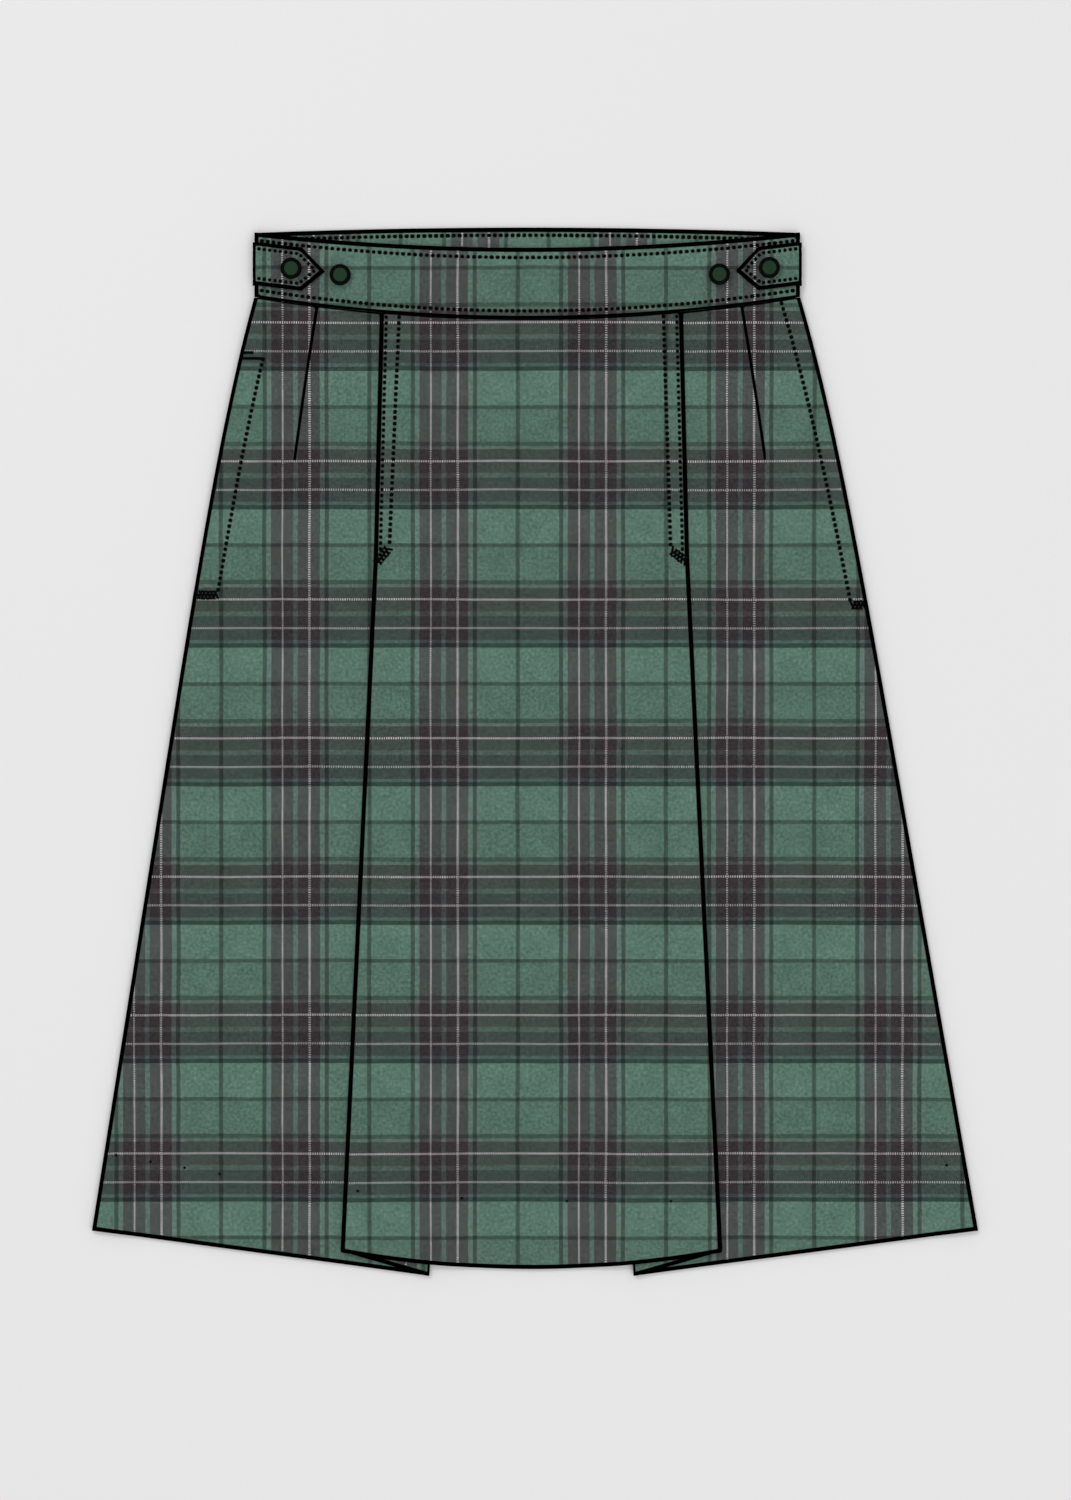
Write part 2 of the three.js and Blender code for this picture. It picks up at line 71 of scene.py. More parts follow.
# Sizes of the cut, as in the frame's model
CLOTH = 1.0
GAP = 0.3
LAYER = CLOTH + GAP
BACK_RISE = BACK_TOP - SIDE_TOP
BAND_DEPTH = 39.9
SIDE_SEAM_TOP = SIDE_TOP - BAND_DEPTH
FRONT_TOP_DIP = 9.6
FRONT_SEAM_DIP = 13.3
HEM_CORNER = -297.3
PLEAT_EDGE_HEM = -310.6
CENTRE_HEM_DIP = 10.5
BACK_HEM_DIP = 20
BACK_HEM_POWER = 1.5
WAIST_HALF = (WAIST_RIGHT + WAIST_LEFT) / 2
WAIST_MIDDLE = (WAIST_LEFT - WAIST_RIGHT) / 2
HIP_TUCK = 9.2
HIP_END = -180
HIP_POWER = 6
PANEL_MIDDLE = -2.2
PANEL_HALF_TOP = 93.2
PANEL_HALF_RELEASE = 97
PANEL_HALF_HEM = 117.6
RELEASE = 120
RELEASE_SLOPE = 20
RELEASE_ABOVE = 0.3
SEAM_ALLOWANCE = 10
PLEAT_CLEAR = 2
PLEAT_CLEAR_RAMP = 28
PLEAT_DEPTH_RELEASE = 30
PLEAT_DEPTH_HEM = 55
REST = LAYER
RETURN_BOTTOM = 2 * LAYER
STACK_BOTTOM = 3 * LAYER
INNER_FOLD = (LAYER + CLOTH) / 2
STACK_RAMP = 30
BAND_LIFT_CENTRE = 1.7
BAND_LIFT_SIDE = 1.1
BAND_LIFT_REACH = 70
SEAM_RADIUS_WAIST = 2.45
SEAM_RADIUS_HIP = 2.2
SEAM_RADIUS_HEM = 1.85
SEAM_HIP_DEPTH = 100
SEAM_HEM_DEPTH = 200
SEAM_HEM_RUN = 120
SEAM_SLIT = 0.15
SEAM_PLATEAU = 8
SEAM_RAMP = 24
POCKET_TOP = 245
POCKET_BOTTOM = 97
POCKET_SLIT = 0.8
POCKET_SLIT_RAMP = 6
BAG_LIFT = 1.1
BAG_END = 50
BAG_RAMP = 34
ZIP_LIFT = 0.9
ZIP_TAPE_WIDTH = 24
ZIP_END = 93
ZIP_RAMP = 24
TAB = 1.6
TAB_HALF_HEIGHT = 13.4
TAB_RISE = 0.5
TAB_ROOT = 0.7
TAB_ROOT_ANGLE = 4
DART_PLACE = 0.495
DART_LENGTH = 97

# How sewing and pressing shape the dressed cloth, in heights, depths and widths
CLOTH_EDGE = 0.3
CLOTH_EDGE_ANGLE = 55
TAB_EDGE = 0.45
BACK_DART_PLACES = (0.24, 0.76)
BACK_DART_LENGTH = 126
BACK_DART_SINK = 0.35
DART_SLANT = 0.022
DART_SINK = 0.7
DART_FADE = 1.5
DART_RIDGE = 0.25
DART_RIDGE_WIDTH = 4
DART_RIPPLE = 0.1
DART_RIPPLE_WIDTH = 5
ROW_SINK = 0.3
ROW_WIDTH = 0.9
PLEAT_ROW_WIDTH = 0.8
PLEAT_RIPPLE = 0.08
PLEAT_RIPPLE_WIDTH = 5
PLEAT_RIPPLE_PLACE = 6
PLEAT_SEWN_START = 4
PLEAT_SEWN_RAMP = 5
PLEAT_LIFT = 1.3
PLEAT_LIFT_RUN = 380
CREASE_OVER_PLEAT = 0.25
CREASE_CLEAR = 3
CREASE_RAMP = 20
CREASE_END_POWER = 0.8
BAND_PUFF = 0.25
BAND_SWELL = 0.12
BAND_ROW_SINK = 0.42
BAND_PUCKER = 0.08
BAND_EDGE_RADIUS = 1.3
BAND_EDGE_DROP = 0.9
BAND_ROUND_START = 16
BAND_COLUMNS = 180
BAND_INNER_SHIFT = 5
TAB_PUFF = 0.15
TAB_PUFF_RUN = 9

# Uneven waves along the sewing: how long, and how far and how slowly they sway
DART_WAVE = dict(length=2.1, sway=1.3, run=17)
PLEAT_WAVE = dict(length=1.9, sway=1, run=13)
BAND_WAVE = dict(length=9.0, sway=1.7, run=31.0)

# Sewing, in the photograph's places
STITCH_PITCH = 3.65
STITCH_SIZE = (2.8, 2.6, 0.8)
STITCH_SKEW = 0.07
STITCH_SCALE = (0.92, 1.06)
TAB_STITCH_PITCH = 3.3
TAB_STITCH_SIZE = (2.35, 2.3, 0.75)
EDGE_STITCH_SIZE = (2.6, 2.2, 0.7)
TACK_PITCH = 1.2
TACK_THREAD = 1.5
TACK_TURN = 62
TACK_THREAD_HEIGHT = 0.6
TACK_TO_ROW = 0.5
TACK_TO_EDGE = 1.5
ROW_TO_TACK = 2
BAR_TO_EDGE = 2.5
PLEAT_TACK_HEIGHT = 7.4
SIDE_TACK_HEIGHT = 7.2
BAR_PITCH = 1.0
BAR_STITCH_SIZE = (1.8, 1.9, 0.7)
BAND_TOP_ROW = 6.2
BAND_TOP_ROW_END = 4.9
BAND_SEAM_ROW = 4.35
BACK_BAND_ROW = 4.9
PLEAT_EDGE_ROW = 3.3
PLEAT_SECOND_ROW = 11.5

# By side, how far in the second row ends, and how far above the release its bartack starts and ends
PLEAT_FOOT = {
    -1: dict(row=8.7, top=6, low=-3),
    1: dict(row=10.6, top=4.5, low=-2),
}

POCKET_ROW = 15.2
POCKET_BARS = [
    dict(rise=2.2, reach=0.55),
    dict(rise=-1.4, reach=1),
]
ZIP_ROW = 12.9
ZIP_ROW_FOOT = 10.8
ZIP_ROW_TOP = 0.5
ZIP_TACK = 90.8
TAB_ROW = 4.2
HEM_TACK_LENGTH = 1.7
HEM_TACK_SIZE = (HEM_TACK_LENGTH, 1.6, 0.6)
HEM_TACKS = {
    "centre": [(-109.8, -272.2), (-45.4, -276.9), (19.8, -279.0), (84.2, -278.6)],
    "right": [(-259.7, -250.2), (-238.5, -254.4), (-217.4, -258.2), (-195.7, -262.1)],
    "left": [(255.3, -256.5)],
}

# Widths of the dark lines of painted shade along the turned edges, seams and darts
EDGE_LINE = 2.75
HEM_LINE = 2.6
SEAM_LINE = 1.2
BAND_TOP_LINE = 2.8
BAND_SEAM_LINE = 1.3
FOLD_LINE = 1.95
# Painted shadow beside the pleat's edge, on the cloth it lies over
PLEAT_SHADOW = 0.9
DART_LINE = 0.95
TAB_LINE = 2.4

# A place this far outside every painted shade line is plain cloth
NO_LINE = 5.0

SIDES = {
    "right": dict(sign=-1, waist=WAIST_RIGHT, tip=44, shoulder=29.6, row=POCKET_ROW, foot=POCKET_ROW),
    "left": dict(sign=1, waist=WAIST_LEFT, tip=40.2, shoulder=26.3, row=ZIP_ROW, foot=ZIP_ROW_FOOT),
}
RIGHT = SIDES["right"]
LEFT = SIDES["left"]


def mix(a, b, t):
    return a + (b - a) * t


def clamp(v):
    return min(1.0, max(0.0, v))


def smooth(v):
    v = clamp(v)
    return v * v * (3 - 2 * v)


def fall(distance, start, end):
    return 1 - smooth((distance - start) / (end - start))


def soft_max(*values):
    return sum(v**4 for v in values) ** 0.25


def bump_at(distance, width):
    return math.exp(-((distance / width) ** 2))


def wave(kind, along, place):
    return math.sin(along / kind["length"] + kind["sway"] * math.sin(place / kind["run"]))


def nearest(*distances):
    return min(NO_LINE, *distances)


def spread(anchors, counts):
    """Places between anchors, closest together near each anchor."""
    places = []
    for a, b, n in zip(anchors, anchors[1:], counts):
        places += [mix(a, b, (1 - math.cos(math.pi * k / n)) / 2) for k in range(n)]
    return places + [anchors[-1]]


def steps(count, start=0.0, end=1.0):
    return [mix(start, end, k / count) for k in range(count + 1)]


# Outlines of the cut
def waist_bow(x):
    return 1 - ((x - WAIST_MIDDLE) / WAIST_HALF) ** 2


def front_top(x):
    return SIDE_TOP - FRONT_TOP_DIP * waist_bow(x)


def front_seam(x):
    return SIDE_SEAM_TOP - FRONT_SEAM_DIP * waist_bow(x)


def back_top(x):
    return SIDE_TOP + BACK_RISE * waist_bow(x)


def back_seam(x):
    return SIDE_SEAM_TOP + BACK_RISE * waist_bow(x)


def side_reach(side, y):
    straight = mix(HEM_HALF, side["waist"] + HIP_TUCK, (y - HEM_CORNER) / (SIDE_SEAM_TOP - HEM_CORNER))
    hip = max(0.0, (y - HIP_END) / (SIDE_SEAM_TOP - HIP_END))
    return straight - HIP_TUCK * hip**HIP_POWER


def panel_half(y):
    seam = front_seam(PANEL_MIDDLE + PANEL_HALF_TOP)
    if y > RELEASE:
        return mix(PANEL_HALF_RELEASE, PANEL_HALF_TOP, (y - RELEASE) / (seam - RELEASE))
    return mix(PANEL_HALF_RELEASE, PANEL_HALF_HEM, (RELEASE - y) / (RELEASE - PLEAT_EDGE_HEM))


def pleat_depth(y):
    below = clamp((RELEASE - y) / (RELEASE - PLEAT_EDGE_HEM))
    opened = smooth((RELEASE + RELEASE_ABOVE * RELEASE_SLOPE - y) / RELEASE_SLOPE)
    return mix(SEAM_ALLOWANCE, mix(PLEAT_DEPTH_RELEASE, PLEAT_DEPTH_HEM, below), opened)


def centre_hem(x):
    return PLEAT_EDGE_HEM - CENTRE_HEM_DIP * (1 - ((x - PANEL_MIDDLE) / PANEL_HALF_HEM) ** 2)


def side_hem(side, x):
    inner = PANEL_HALF_HEM - PLEAT_DEPTH_HEM + side["sign"] * PANEL_MIDDLE
    return mix(PLEAT_CORNER, HEM_CORNER, clamp((side["sign"] * x - inner) / (HEM_HALF - inner)))


def back_hem(x):
    return HEM_CORNER - BACK_HEM_DIP * (1 - abs(x / HEM_HALF) ** BACK_HEM_POWER)


def row_from(x, hem, down):
    return mix(front_seam(x) - GAP, hem, down)


def seam_radius(y):
    down = SIDE_SEAM_TOP - y
    hip = mix(SEAM_RADIUS_WAIST, SEAM_RADIUS_HIP, smooth(down / SEAM_HIP_DEPTH))
    return mix(hip, SEAM_RADIUS_HEM, smooth((down - SEAM_HEM_DEPTH) / SEAM_HEM_RUN))


def seam_slit(side, y):
    below_top = smooth((POCKET_TOP - y) / POCKET_SLIT_RAMP)
    in_mouth = below_top * smooth((y - POCKET_BOTTOM) / POCKET_SLIT_RAMP)
    return mix(SEAM_SLIT, POCKET_SLIT, in_mouth) if side is RIGHT else SEAM_SLIT


# Soft ridges in the lying cloth: upper end, lower end, and how wide and high each is
CREASES = {
    "right": [
        dict(top=(-176, 40), end=(-236, -300), width=15, height=1.1),
        dict(top=(-140, 96), end=(-168, -210), width=19, height=0.7),
        dict(top=(-150, -80), end=(-196, -316), width=12, height=0.8),
        dict(top=(-196, 190), end=(-214, 30), width=10, height=0.5),
    ],
    "left": [
        dict(top=(168, 10), end=(224, -306), width=17, height=1.0),
        dict(top=(132, 120), end=(150, -150), width=15, height=0.6),
        dict(top=(146, -110), end=(176, -318), width=11, height=0.9),
        dict(top=(186, 150), end=(214, -60), width=12, height=0.5),
    ],
    "centre": [
        dict(top=(-30, 30), end=(-46, -330), width=20, height=0.9),
        dict(top=(24, 90), end=(38, -260), width=24, height=0.7),
        dict(top=(4, -120), end=(2, -340), width=13, height=0.8),
        dict(top=(-12, 250), end=(-34, 90), width=16, height=0.5),
        dict(top=(50, -160), end=(62, -330), width=11, height=0.6),
    ],
    "back": [
        dict(top=(-120, 60), end=(-170, -300), width=20, height=0.2),
        dict(top=(40, 20), end=(60, -320), width=24, height=0.2),
        dict(top=(150, -40), end=(190, -310), width=16, height=0.2),
    ],
}


def crease(piece, x, y):
    lift = 0.0
    for fold in CREASES[piece]:
        (x0, y0), (x1, y1) = fold["top"], fold["end"]
        along = (y0 - y) / (y0 - y1)
        if 0 < along < 1:
            ends = math.sin(math.pi * along) ** CREASE_END_POWER
            lift += fold["height"] * ends * bump_at(x - mix(x0, x1, along), fold["width"])
    return lift


# Undersides of the front panels, and the sunk lines of their sewing
def side_bottom(side, name, x, y):
    inward = side_reach(side, y) - side["sign"] * x
    from_pleat = side["sign"] * (x - PANEL_MIDDLE) - panel_half(y)
    clear = smooth((from_pleat - PLEAT_CLEAR) / PLEAT_CLEAR_RAMP)
    seam = (2 * seam_radius(y) - CLOTH - REST) * fall(inward, SEAM_PLATEAU, SEAM_PLATEAU + SEAM_RAMP)
    band = BAND_LIFT_SIDE * fall(front_seam(x) - y, 0, BAND_LIFT_REACH) * clear
    bag = BAG_LIFT * fall(BAG_END - y, 0, BAG_RAMP) * clear
    tape = ZIP_LIFT * fall(inward, ZIP_TAPE_WIDTH, ZIP_TAPE_WIDTH + ZIP_RAMP) * fall(ZIP_END - y, 0, ZIP_RAMP)
    away = clear * smooth((inward - CREASE_CLEAR) / CREASE_RAMP)
    return REST + soft_max(seam, band, bag if side is RIGHT else tape) + crease(name, x, y) * away


def side_row(side, y):
    """How far in from the side seam its row of stitches runs at this height."""
    return mix(side["foot"], side["row"], clamp((y - ZIP_TACK) / (SIDE_SEAM_TOP - ZIP_TACK)))


def dart_place(down):
    """Share of the panel's width from its pleat to the dart, which leans out towards its foot."""
    return DART_PLACE + DART_SLANT * clamp(down / DART_LENGTH)


def dart_at(side, x, y):
    """How much of the dart is left at this height, and the distance from its line."""
    from_pleat = side["sign"] * (x - PANEL_MIDDLE) - panel_half(y)
    width = side_reach(side, y) - side["sign"] * PANEL_MIDDLE - panel_half(y)
    down = front_seam(x) - y
    return clamp(DART_FADE * (1 - down / DART_LENGTH)), from_pleat - dart_place(down) * width


def dart_line(across, down, length):
    return math.hypot(across, max(0.0, down - length)) - DART_LINE


def pleat_shadow(from_edge, y):
    """The painted shadow line beside the pleat's edge, which ends at the centre panel's hem."""
    return max(from_edge - PLEAT_SHADOW, PLEAT_EDGE_HEM - y)


def side_face(side, name, x, y):
    z = side_bottom(side, name, x, y) + CLOTH
    inward = side_reach(side, y) - side["sign"] * x
    row_end = POCKET_BOTTOM if side is RIGHT else ZIP_TACK
    if y > row_end:
        z -= ROW_SINK * bump_at(inward - side_row(side, y), ROW_WIDTH)
    to_end, dart = dart_at(side, x, y)
    z -= DART_SINK * to_end * bump_at(dart, ROW_WIDTH)
    z += DART_RIDGE * to_end * bump_at(dart - DART_RIDGE_WIDTH, DART_RIDGE_WIDTH)
    ripple = wave(DART_WAVE, front_seam(x) - y, y)
    return z + DART_RIPPLE * ripple * to_end * bump_at(dart, DART_RIPPLE_WIDTH)


def pleat_lift(y):
    return PLEAT_LIFT * smooth((RELEASE - y) / PLEAT_LIFT_RUN)


def centre_bottom(x, y):
    out = abs(x - PANEL_MIDDLE)
    inner = panel_half(y) - pleat_depth(y) - PLEAT_CLEAR
    stack = (STACK_BOTTOM - REST) * smooth((out - inner + STACK_RAMP) / STACK_RAMP)
    lift = pleat_lift(y) * smooth((out - inner) / pleat_depth(y))
    band = BAND_LIFT_CENTRE * fall(front_seam(x) - y, 0, BAND_LIFT_REACH)
    flat = 1 - smooth((out - inner + STACK_RAMP) / STACK_RAMP)
    return REST + soft_max(stack, band) + lift + crease("centre", x, y) * mix(CREASE_OVER_PLEAT, 1, flat)


def second_row(sign, y):
    """How far in from the pleat's edge its second row of stitches runs at this height."""
    return mix(PLEAT_FOOT[sign]["row"], PLEAT_SECOND_ROW, clamp((y - RELEASE) / (SIDE_SEAM_TOP - RELEASE)))


def centre_face(x, y):
    z = centre_bottom(x, y) + CLOTH
    inward = panel_half(y) - abs(x - PANEL_MIDDLE)
    sewn = smooth((y - RELEASE - PLEAT_SEWN_START) / PLEAT_SEWN_RAMP)
    second = second_row(1 if x > PANEL_MIDDLE else -1, y)
    rows = bump_at(inward - PLEAT_EDGE_ROW, PLEAT_ROW_WIDTH) + bump_at(inward - second, PLEAT_ROW_WIDTH)
    z -= ROW_SINK * sewn * rows
    between = bump_at(inward - PLEAT_RIPPLE_PLACE, PLEAT_RIPPLE_WIDTH)
    return z + PLEAT_RIPPLE * sewn * wave(PLEAT_WAVE, y, y) * between


# Closed cloth shell from rows of pairs: the face point and the back point, each (x, y, z), then the
# cloth's own (u, v) for the weave, and how far the place lies outside the nearest line of painted
# shade, which is negative on the line. Sharp rims are rounded as a folded edge is.
def shell(name, rows, edge=CLOTH_EDGE):
    height, width = len(rows), len(rows[0])
    mesh = bpy.data.meshes.new(name)
    verts = [Vector(pair[layer]) * MM for layer in (0, 1) for row in rows for pair in row]
    uvs = [pair[2] for _ in (0, 1) for row in rows for pair in row]
    lines = [pair[3] for _ in (0, 1) for row in rows for pair in row]

    def at(layer, r, c):
        return (layer * height + r) * width + c

    faces = []
    for r in range(height - 1):
        for c in range(width - 1):
            faces.append((at(0, r, c), at(0, r + 1, c), at(0, r + 1, c + 1), at(0, r, c + 1)))
            faces.append((at(1, r, c), at(1, r, c + 1), at(1, r + 1, c + 1), at(1, r + 1, c)))
    for c in range(width - 1):
        last = height - 1
        faces.append((at(0, 0, c), at(0, 0, c + 1), at(1, 0, c + 1), at(1, 0, c)))
        faces.append((at(0, last, c), at(1, last, c), at(1, last, c + 1), at(0, last, c + 1)))
    for r in range(height - 1):
        last = width - 1
        faces.append((at(0, r, 0), at(1, r, 0), at(1, r + 1, 0), at(0, r + 1, 0)))
        faces.append((at(0, r, last), at(0, r + 1, last), at(1, r + 1, last), at(1, r, last)))
    mesh.from_pydata(verts, [], faces)
    layer = mesh.uv_layers.new(name="cloth")
    for loop in mesh.loops:
        layer.data[loop.index].uv = [c * MM for c in uvs[loop.vertex_index]]
    # Distance to the painted shade lines, which the cloth's shader darkens
    line = mesh.attributes.new("line", "FLOAT", "POINT")
    line.data.foreach_set("value", lines)
    bm = bmesh.new()
    bm.from_mesh(mesh)
    if bm.calc_volume(signed=True) < 0:
        bmesh.ops.reverse_faces(bm, faces=bm.faces)
    bm.to_mesh(mesh)
    bm.free()
    piece = bpy.data.objects.new(name, mesh)
    bpy.context.collection.objects.link(piece)
    activate(piece)
    if edge:
        bevel = piece.modifiers.new("folded edge", "BEVEL")
        bevel.width = edge * MM
        bevel.segments = 2
        bevel.limit_method = "ANGLE"
        bevel.angle_limit = CLOTH_EDGE_ANGLE * TURN
        bpy.ops.object.modifier_apply(modifier=bevel.name)
    bpy.ops.object.shade_smooth()
    return piece


def activate(piece):
    bpy.ops.object.select_all(action="DESELECT")
    piece.select_set(True)
    bpy.context.view_layer.objects.active = piece


def turned(centre_x, y, centre_z, radius, angle, sign, thickness=CLOTH):
    c, s = sign * math.cos(angle), math.sin(angle)
    inner = radius - thickness
    return (centre_x + radius * c, y, centre_z + radius * s), (centre_x + inner * c, y, centre_z + inner * s)


# Rows of the panels' cloth from waist to hem, closest together at both and where the pleats open
DOWN = spread([0, 0.255, 0.33, 1], [44, 14, 92])


def fold_radius(y):
    return (centre_bottom(PANEL_MIDDLE + panel_half(y), y) + CLOTH - RETURN_BOTTOM) / 2


def centre_panel():
    def returned(sign, share, down):
        at_top = PANEL_MIDDLE + sign * (PANEL_HALF_TOP - share * SEAM_ALLOWANCE)
        hem = mix(PLEAT_EDGE_HEM, PLEAT_CORNER, share)
        y = row_from(at_top, hem, down)
        edge = panel_half(y) - fold_radius(y)
        inner = panel_half(y) - pleat_depth(y) + INNER_FOLD + GAP
        x = PANEL_MIDDLE + sign * mix(edge, inner, share)
        unfolded = 2 * (PANEL_MIDDLE + sign * edge) - x
        line = nearest(y - hem - HEM_LINE)
        return (x, y, RETURN_BOTTOM), (x, y, RETURN_BOTTOM + CLOTH), (unfolded, y), line

    def folded(sign, angle, down):
        y = row_from(PANEL_MIDDLE + sign * (PANEL_HALF_TOP - 2 * CLOTH), PLEAT_EDGE_HEM, down)
        radius = fold_radius(y)
        centre = PANEL_MIDDLE + sign * (panel_half(y) - radius)
        face, back = turned(centre, y, RETURN_BOTTOM + radius, radius, angle * TURN, sign)
        from_edge = radius * (1 - math.cos(angle * TURN))
        line = nearest(from_edge - FOLD_LINE, y - PLEAT_EDGE_HEM - HEM_LINE)
        return face, back, (centre + sign * radius * (90 - angle) / 90, y), line

    def lying(across, down):
        hem = centre_hem(PANEL_MIDDLE + across * PANEL_HALF_HEM)
        y = row_from(PANEL_MIDDLE + across * (PANEL_HALF_TOP - 2 * CLOTH), hem, down)
        x = PANEL_MIDDLE + across * (panel_half(y) - fold_radius(y))
        line = nearest(
            front_seam(x) - y - SEAM_LINE,
            y - hem - HEM_LINE,
            panel_half(y) - abs(x - PANEL_MIDDLE) - FOLD_LINE,
        )
        return (x, y, centre_face(x, y)), (x, y, centre_bottom(x, y)), (x, y), line

    stitched = [1 - row / PANEL_HALF_TOP for row in (PLEAT_SECOND_ROW, PLEAT_EDGE_ROW)]
    half = spread([0, *stitched, 1], [28, 8, 4])
    across = [-a for a in half[:0:-1]] + half
    rows = [
        [returned(-1, s, d) for s in steps(8, 1, 0)]
        + [folded(-1, a, d) for a in steps(8, -90, 90)[1:-1]]
        + [lying(a, d) for a in across]
        + [folded(1, a, d) for a in steps(8, 90, -90)[1:-1]]
        + [returned(1, s, d) for s in steps(8, 0, 1)]
        for d in DOWN
    ]
    return shell("centre_panel_cloth", rows)


def side_panel(side_name):
    side = SIDES[side_name]
    sign = side["sign"]
    seam_start = sign * (side["waist"] - SEAM_RADIUS_WAIST)

    def pleat_edge(half):
        return PANEL_MIDDLE + sign * half

    def at_seam(share, down):
        y = row_from(seam_start, HEM_CORNER, down)
        radius = seam_radius(y)
        end = math.asin(seam_slit(side, y) / radius)
        centre = sign * (side_reach(side, y) - radius)
        angle = mix(end, math.pi / 2, share)
        face, back = turned(centre, y, radius, radius, angle, sign)
        line = nearest(radius * (1 - math.cos(angle)) - EDGE_LINE, y - HEM_CORNER - HEM_LINE)
        return face, back, (centre + sign * radius * (math.pi / 2 - angle), y), line

    def lying(outward, down):
        hem = side_hem(side, mix(pleat_edge(PANEL_HALF_HEM), sign * HEM_HALF, outward))
        y = row_from(mix(pleat_edge(PANEL_HALF_TOP), seam_start, outward), hem, down)
        x = mix(pleat_edge(panel_half(y)), sign * (side_reach(side, y) - seam_radius(y)), outward)
        face = (x, y, side_face(side, side_name, x, y))
        line = nearest(
            front_seam(x) - y - SEAM_LINE,
            y - hem - HEM_LINE,
            side_reach(side, y) - sign * x - EDGE_LINE,
            dart_line(dart_at(side, x, y)[1], front_seam(x) - y, DART_LENGTH),
            pleat_shadow(sign * (x - PANEL_MIDDLE) - panel_half(y), y),
        )
        return face, (x, y, side_bottom(side, side_name, x, y)), (x, y), line

    def underlay(share, down):
        hem = side_hem(side, pleat_edge(PANEL_HALF_HEM - share * PLEAT_DEPTH_HEM))
        y = row_from(pleat_edge(PANEL_HALF_TOP - share * SEAM_ALLOWANCE), hem, down)
        to_centre = share * (pleat_depth(y) - INNER_FOLD)
        x = pleat_edge(panel_half(y) - to_centre)
        line = nearest(y - hem - HEM_LINE, pleat_depth(y) - to_centre - EDGE_LINE, pleat_shadow(to_centre, y))
        return (x, y, REST + CLOTH), (x, y, REST), (x, y), line

    def inner_fold(angle, down):
        y = row_from(pleat_edge(PANEL_HALF_TOP - SEAM_ALLOWANCE), PLEAT_CORNER, down)
        centre = pleat_edge(panel_half(y) - pleat_depth(y) + INNER_FOLD)
        back, face = turned(centre, y, REST + INNER_FOLD, INNER_FOLD, angle * TURN, -sign)
        line = INNER_FOLD * (1 - math.cos(angle * TURN)) - EDGE_LINE
        return face, back, (centre - sign * INNER_FOLD * (90 + angle) / 90, y), line

    width = side["waist"] - PANEL_HALF_TOP
    seam_to_hem = SIDE_SEAM_TOP - HEM_CORNER

    def across(down):
        return spread([1, 1 - side["row"] / width, dart_place(down * seam_to_hem), 0], [16, 16, 20])

    rows = [
        [at_seam(s, d) for s in steps(8)[:-1]]
        + [lying(a, d) for a in across(d)]
        + [underlay(s, d) for s in steps(10)[1:]]
        + [inner_fold(a, d) for a in steps(8, -90, 90)[1:]]
        for d in DOWN
    ]
    return shell(f"side_panel_{side_name}_cloth", rows)


def back_panel():
    def at_seam(side, share, down):
        y = mix(SIDE_SEAM_TOP - GAP, HEM_CORNER, down)
        radius = seam_radius(y)
        end = -math.asin(seam_slit(side, y) / radius)
        centre = side["sign"] * (side_reach(side, y) - radius)
        angle = mix(end, -math.pi / 2, share)
        face, back = turned(centre, y, radius, radius, angle, side["sign"])
        line = nearest(radius * (1 - math.cos(angle)) - EDGE_LINE, y - HEM_CORNER - HEM_LINE)
        return face, back, (centre + side["sign"] * radius * (math.pi / 2 + angle), y), line

    def lying(across, down):
        top = back_seam(mix(-WAIST_RIGHT, WAIST_LEFT, across)) - GAP
        y = mix(top, back_hem(mix(-HEM_HALF, HEM_HALF, across)), down)
        radius = seam_radius(y)
        x = mix(radius - side_reach(RIGHT, y), side_reach(LEFT, y) - radius, across)
        dart = min(abs(across - place) for place in BACK_DART_PLACES) * 2 * side_reach(LEFT, y)
        to_end = clamp(DART_FADE * (1 - (top - y) / BACK_DART_LENGTH))
        sunk = BACK_DART_SINK * to_end * bump_at(dart, 1.0)
        arched = crease("back", x, y)
        line = nearest(
            top - y - SEAM_LINE,
            y - back_hem(mix(-HEM_HALF, HEM_HALF, across)) - HEM_LINE,
            dart_line(dart, top - y, BACK_DART_LENGTH),
            side_reach(LEFT if x > 0 else RIGHT, y) - abs(x) - EDGE_LINE,
        )
        return (x, y, sunk + arched), (x, y, CLOTH + arched), (x, y), line

    across = spread([0, *BACK_DART_PLACES, 1], [22, 46, 22])
    rows = [
        [at_seam(RIGHT, s, d) for s in steps(8)[:-1]]
        + [lying(a, d) for a in across]
        + [at_seam(LEFT, s, d) for s in steps(8, 1, 0)[1:]]
        for d in DOWN
    ]
    return shell("back_panel_cloth", rows)


# Waistbands: folded, faced cloth with sunk rows of topstitching
def band_top_row(x):
    return mix(BAND_TOP_ROW_END, BAND_TOP_ROW, waist_bow(x))


def band_rows(x, depth):
    return [band_top_row(x), depth - BAND_SEAM_ROW]


def band_relief(x, from_top, depth, rows):
    sunk = sum(bump_at(from_top - row, ROW_WIDTH) for row in rows)
    pucker = math.cos(2 * math.pi * x / STITCH_PITCH)
    puff = math.sin(math.pi * clamp(from_top / depth)) ** 0.5
    swell = BAND_SWELL * wave(BAND_WAVE, x, x) * puff
    return BAND_PUFF * (puff - 1) + swell - (BAND_ROW_SINK + BAND_PUCKER * pucker) * sunk


